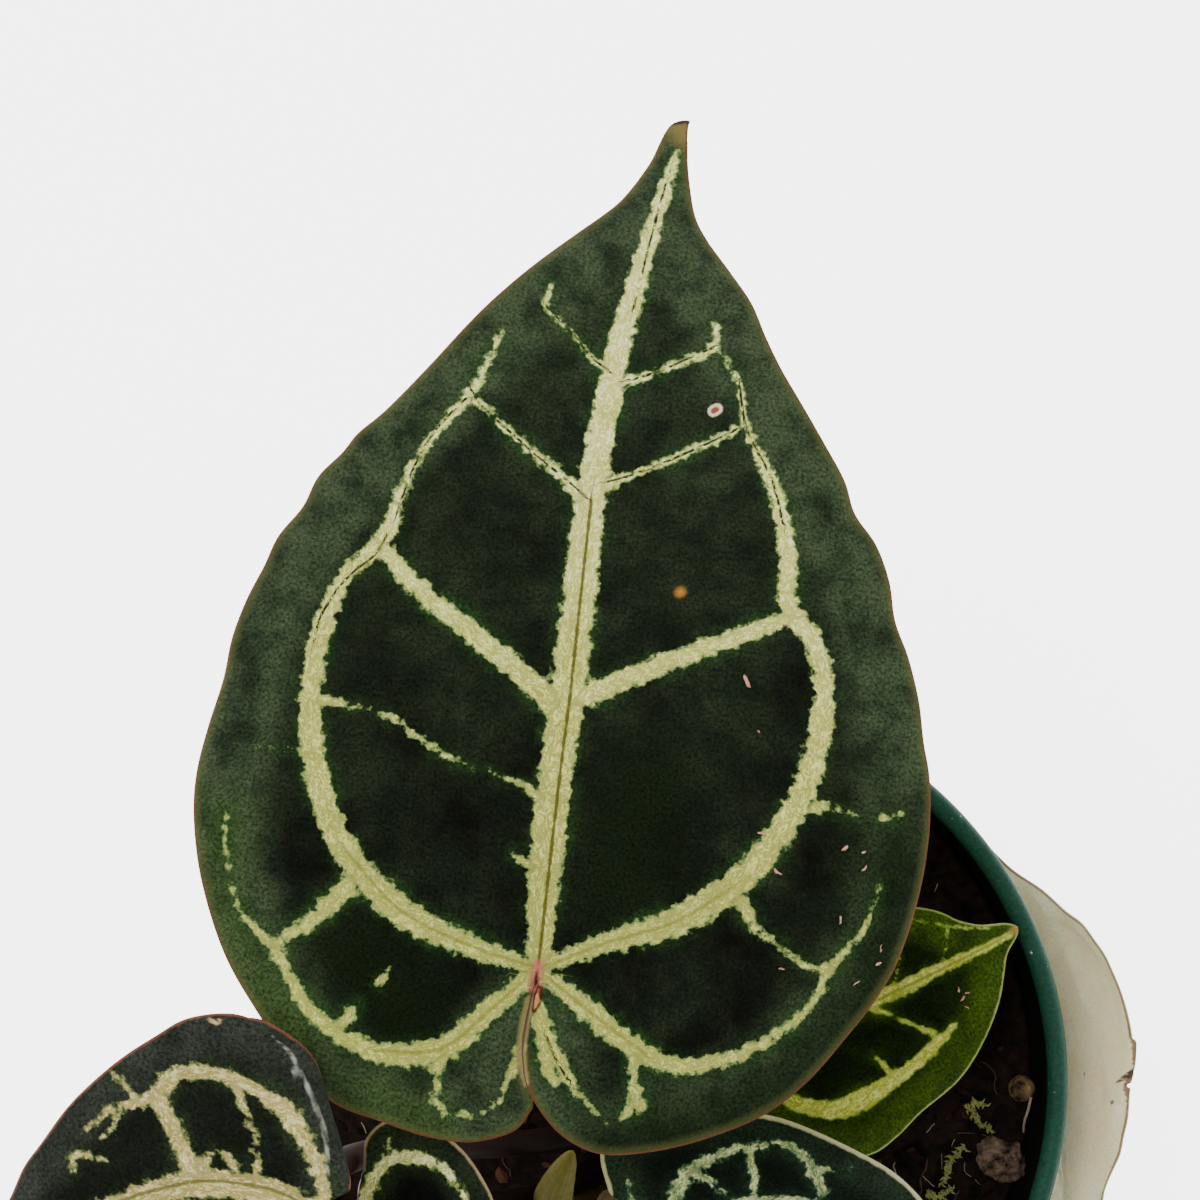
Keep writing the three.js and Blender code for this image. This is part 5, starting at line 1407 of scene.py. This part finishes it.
dark_paths, pale_paths, moss_paths = [], [], []
for x, y, bearing in scattered(FIBRE_COUNT, mix_edge - 9):
    points = wander(x, y, bearing, random.integers(5, 10), 1.1, 0.45, (0.1, 1.1))
    dark_paths.append((points, [random.uniform(0.08, 0.2)] * len(points)))
for x, y, bearing in scattered(ROOTLET_COUNT, mix_edge - 6):
    points = wander(x, y, bearing, random.integers(3, 6), 0.8, 0.35, (0.8, 1.5))
    pale_paths.append((points, [random.uniform(0.05, 0.11)] * len(points)))
pale_paths.append((smooth_line(ROOT_POINTS, 0.6, dims=3), np.linspace(0.32, 0.12, 40)))
for sprig in MOSS:
    stalk = [(x, y, mix_height(x, y) + 1.6) for x, y in smooth_line(sprig, 0.45)]
    stalk = [(x + random.normal(0, 0.18), y + random.normal(0, 0.18), z + random.normal(0, 0.2))
             for x, y, z in stalk]
    moss_paths.append((stalk, [0.3] * len(stalk)))
    for x, y, z in stalk * 3:
        bearing = random.uniform(0, 2 * math.pi)
        reach = random.uniform(0.6, 1.4)
        leaf_path = [(x + reach * t * math.cos(bearing + t), y + reach * t * math.sin(bearing + t),
                      z + random.uniform(0.1, 0.5) * t) for t in (0, 0.5, 1)]
        moss_paths.append((leaf_path, [0.2, 0.26, 0.05]))
strands("coir_fibres", dark_paths, "#3a2418", "mix")
strands("pale_rootlets", pale_paths, "#8a7668", "mix")
strands("moss_sprigs", moss_paths, "#7a7c40", "mix", 0.2, 1.6)

# %% [markdown]
# A fired clay pellet and a weathered lump of bark lie by the wall. Both start as an icosphere, whose even
# faces take a push in or out well. The pellet only gets shallow pits, and the bark is stretched first and
# then folded by ridges, which is how a torn piece weathers.

# %% Clay ball and bark lump
BALL_RADIUS, BALL_PLACE = 2.6, Vector((68.4, -2.8, 100))
LUMP_REACH, LUMP_PLACE = (5.1, 4.0, 3.0, 1), Vector((64.6, -16.6, 99.6))

ball_bm = bmesh.new()
bmesh.ops.create_icosphere(ball_bm, subdivisions=5, radius=BALL_RADIUS)
for vert in ball_bm.verts:
    pits = max(0.0, noise.noise(vert.co / 0.7) - 0.25)
    uneven = 1 + 0.05 * noise.noise(vert.co / 1.3) - 0.22 * pits
    vert.co = (vert.co * uneven + BALL_PLACE) * MM
ball_skin = bark_skin("fired clay pellet", "#20150b", "#8e7650", 300)
make_piece("clay_ball", finish_mesh(ball_bm, "clay_ball"), [ball_skin], "clay")

lump_bm = bmesh.new()
bmesh.ops.create_icosphere(lump_bm, subdivisions=5, radius=1)
bmesh.ops.transform(lump_bm, verts=lump_bm.verts,
                    matrix=Matrix.Rotation(-0.5, 4, "Z") @ Matrix.Diagonal(LUMP_REACH))
for vert in lump_bm.verts:
    ridged = abs(noise.noise(vert.co / 3)) * -0.45 + noise.noise(vert.co / 0.9) * 0.1
    vert.co = (vert.co * (1.12 + ridged) + LUMP_PLACE) * MM
lump_skin = bark_skin("weathered bark lump", "#100a07", "#80685a", 460)
make_piece("bark_lump", finish_mesh(lump_bm, "bark_lump"), [lump_skin], "bark")

# %% [markdown]
# ## What has fallen on the leaves
# A few dry flakes lie on the largest leaf and on the youngest one. Each is a small curled sliver that is
# set on the blade's own surface, found through the flat place that every vertex of the blade still carries.

# %% Flakes on the leaves
FLAKES = {
    "main_leaf": [
        (44, 26, 0.9), (27.9, 41.2, 0.4), (47.6, 23.6, 0.8), (34.5, 20.2, 0.9), (45.1, 14.9, 0.8),
        (52, 11.7, 0.9), (52.5, 9.4, 0.8), (49, 6.2, 0.8), (37.4, 5.8, 0.6), (46.9, 25.8, 0.4),
        (30.5, 25.5, 0.7), (24.4, 48.5, 1.4)],
    "young_leaf": [(4.8, 36.5, 0.7), (6.7, 36.3, 0.8), (8.2, 36.8, 0.6), (6, 37.6, 0.5)],
}
flake_bm = bmesh.new()
for leaf_name, flakes in FLAKES.items():
    blade = LEAVES[leaf_name]["piece"].data
    flat = np.zeros(len(blade.vertices) * 3)
    blade.attributes["plane"].data.foreach_get("vector", flat)
    flat = flat.reshape(-1, 3)
    for u, v, size in flakes:
        under_it = blade.vertices[int(np.argmin(np.hypot(flat[:, 0] - u, flat[:, 1] - v)))]
        lay = under_it.normal.to_track_quat("Z", "Y").to_matrix().to_4x4()
        shape = Matrix.Diagonal((0.8 * size, size * random.uniform(0.14, 0.3), 0.1, 1))
        spot = Matrix.Translation(under_it.co / MM + under_it.normal * 0.25)
        matrix = spot @ lay @ Matrix.Rotation(random.uniform(-0.6, 2.0), 4, "Z") @ shape
        made = bmesh.ops.create_icosphere(flake_bm, subdivisions=2, radius=1,
                                          matrix=Matrix.Scale(MM, 4) @ matrix)["verts"]
        for vert in made:
            vert.co += Vector(noise.noise_vector(vert.co / MM / 0.5)) * MM * 0.3
flake_finish = uneven_finish("dry flakes", "#b98670", 900, 0.3, 1.7)
make_piece("dry_flakes", finish_mesh(flake_bm, "dry_flakes"), [flake_finish], "sheath", replaces=False)

# %% [markdown]
# ## Measure and finish
# The dressed plant has to stay the size of the measured one, so both boxes are gathered and the new one is
# printed.

# %% Sizes and finish
now_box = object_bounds()
boxes = {"cad": cad_box, "visual": now_box}
{key: [list(corner) for corner in box] for key, box in boxes.items()}
print("visual box:", [[round(c / MM, 1) for c in corner] for corner in now_box])
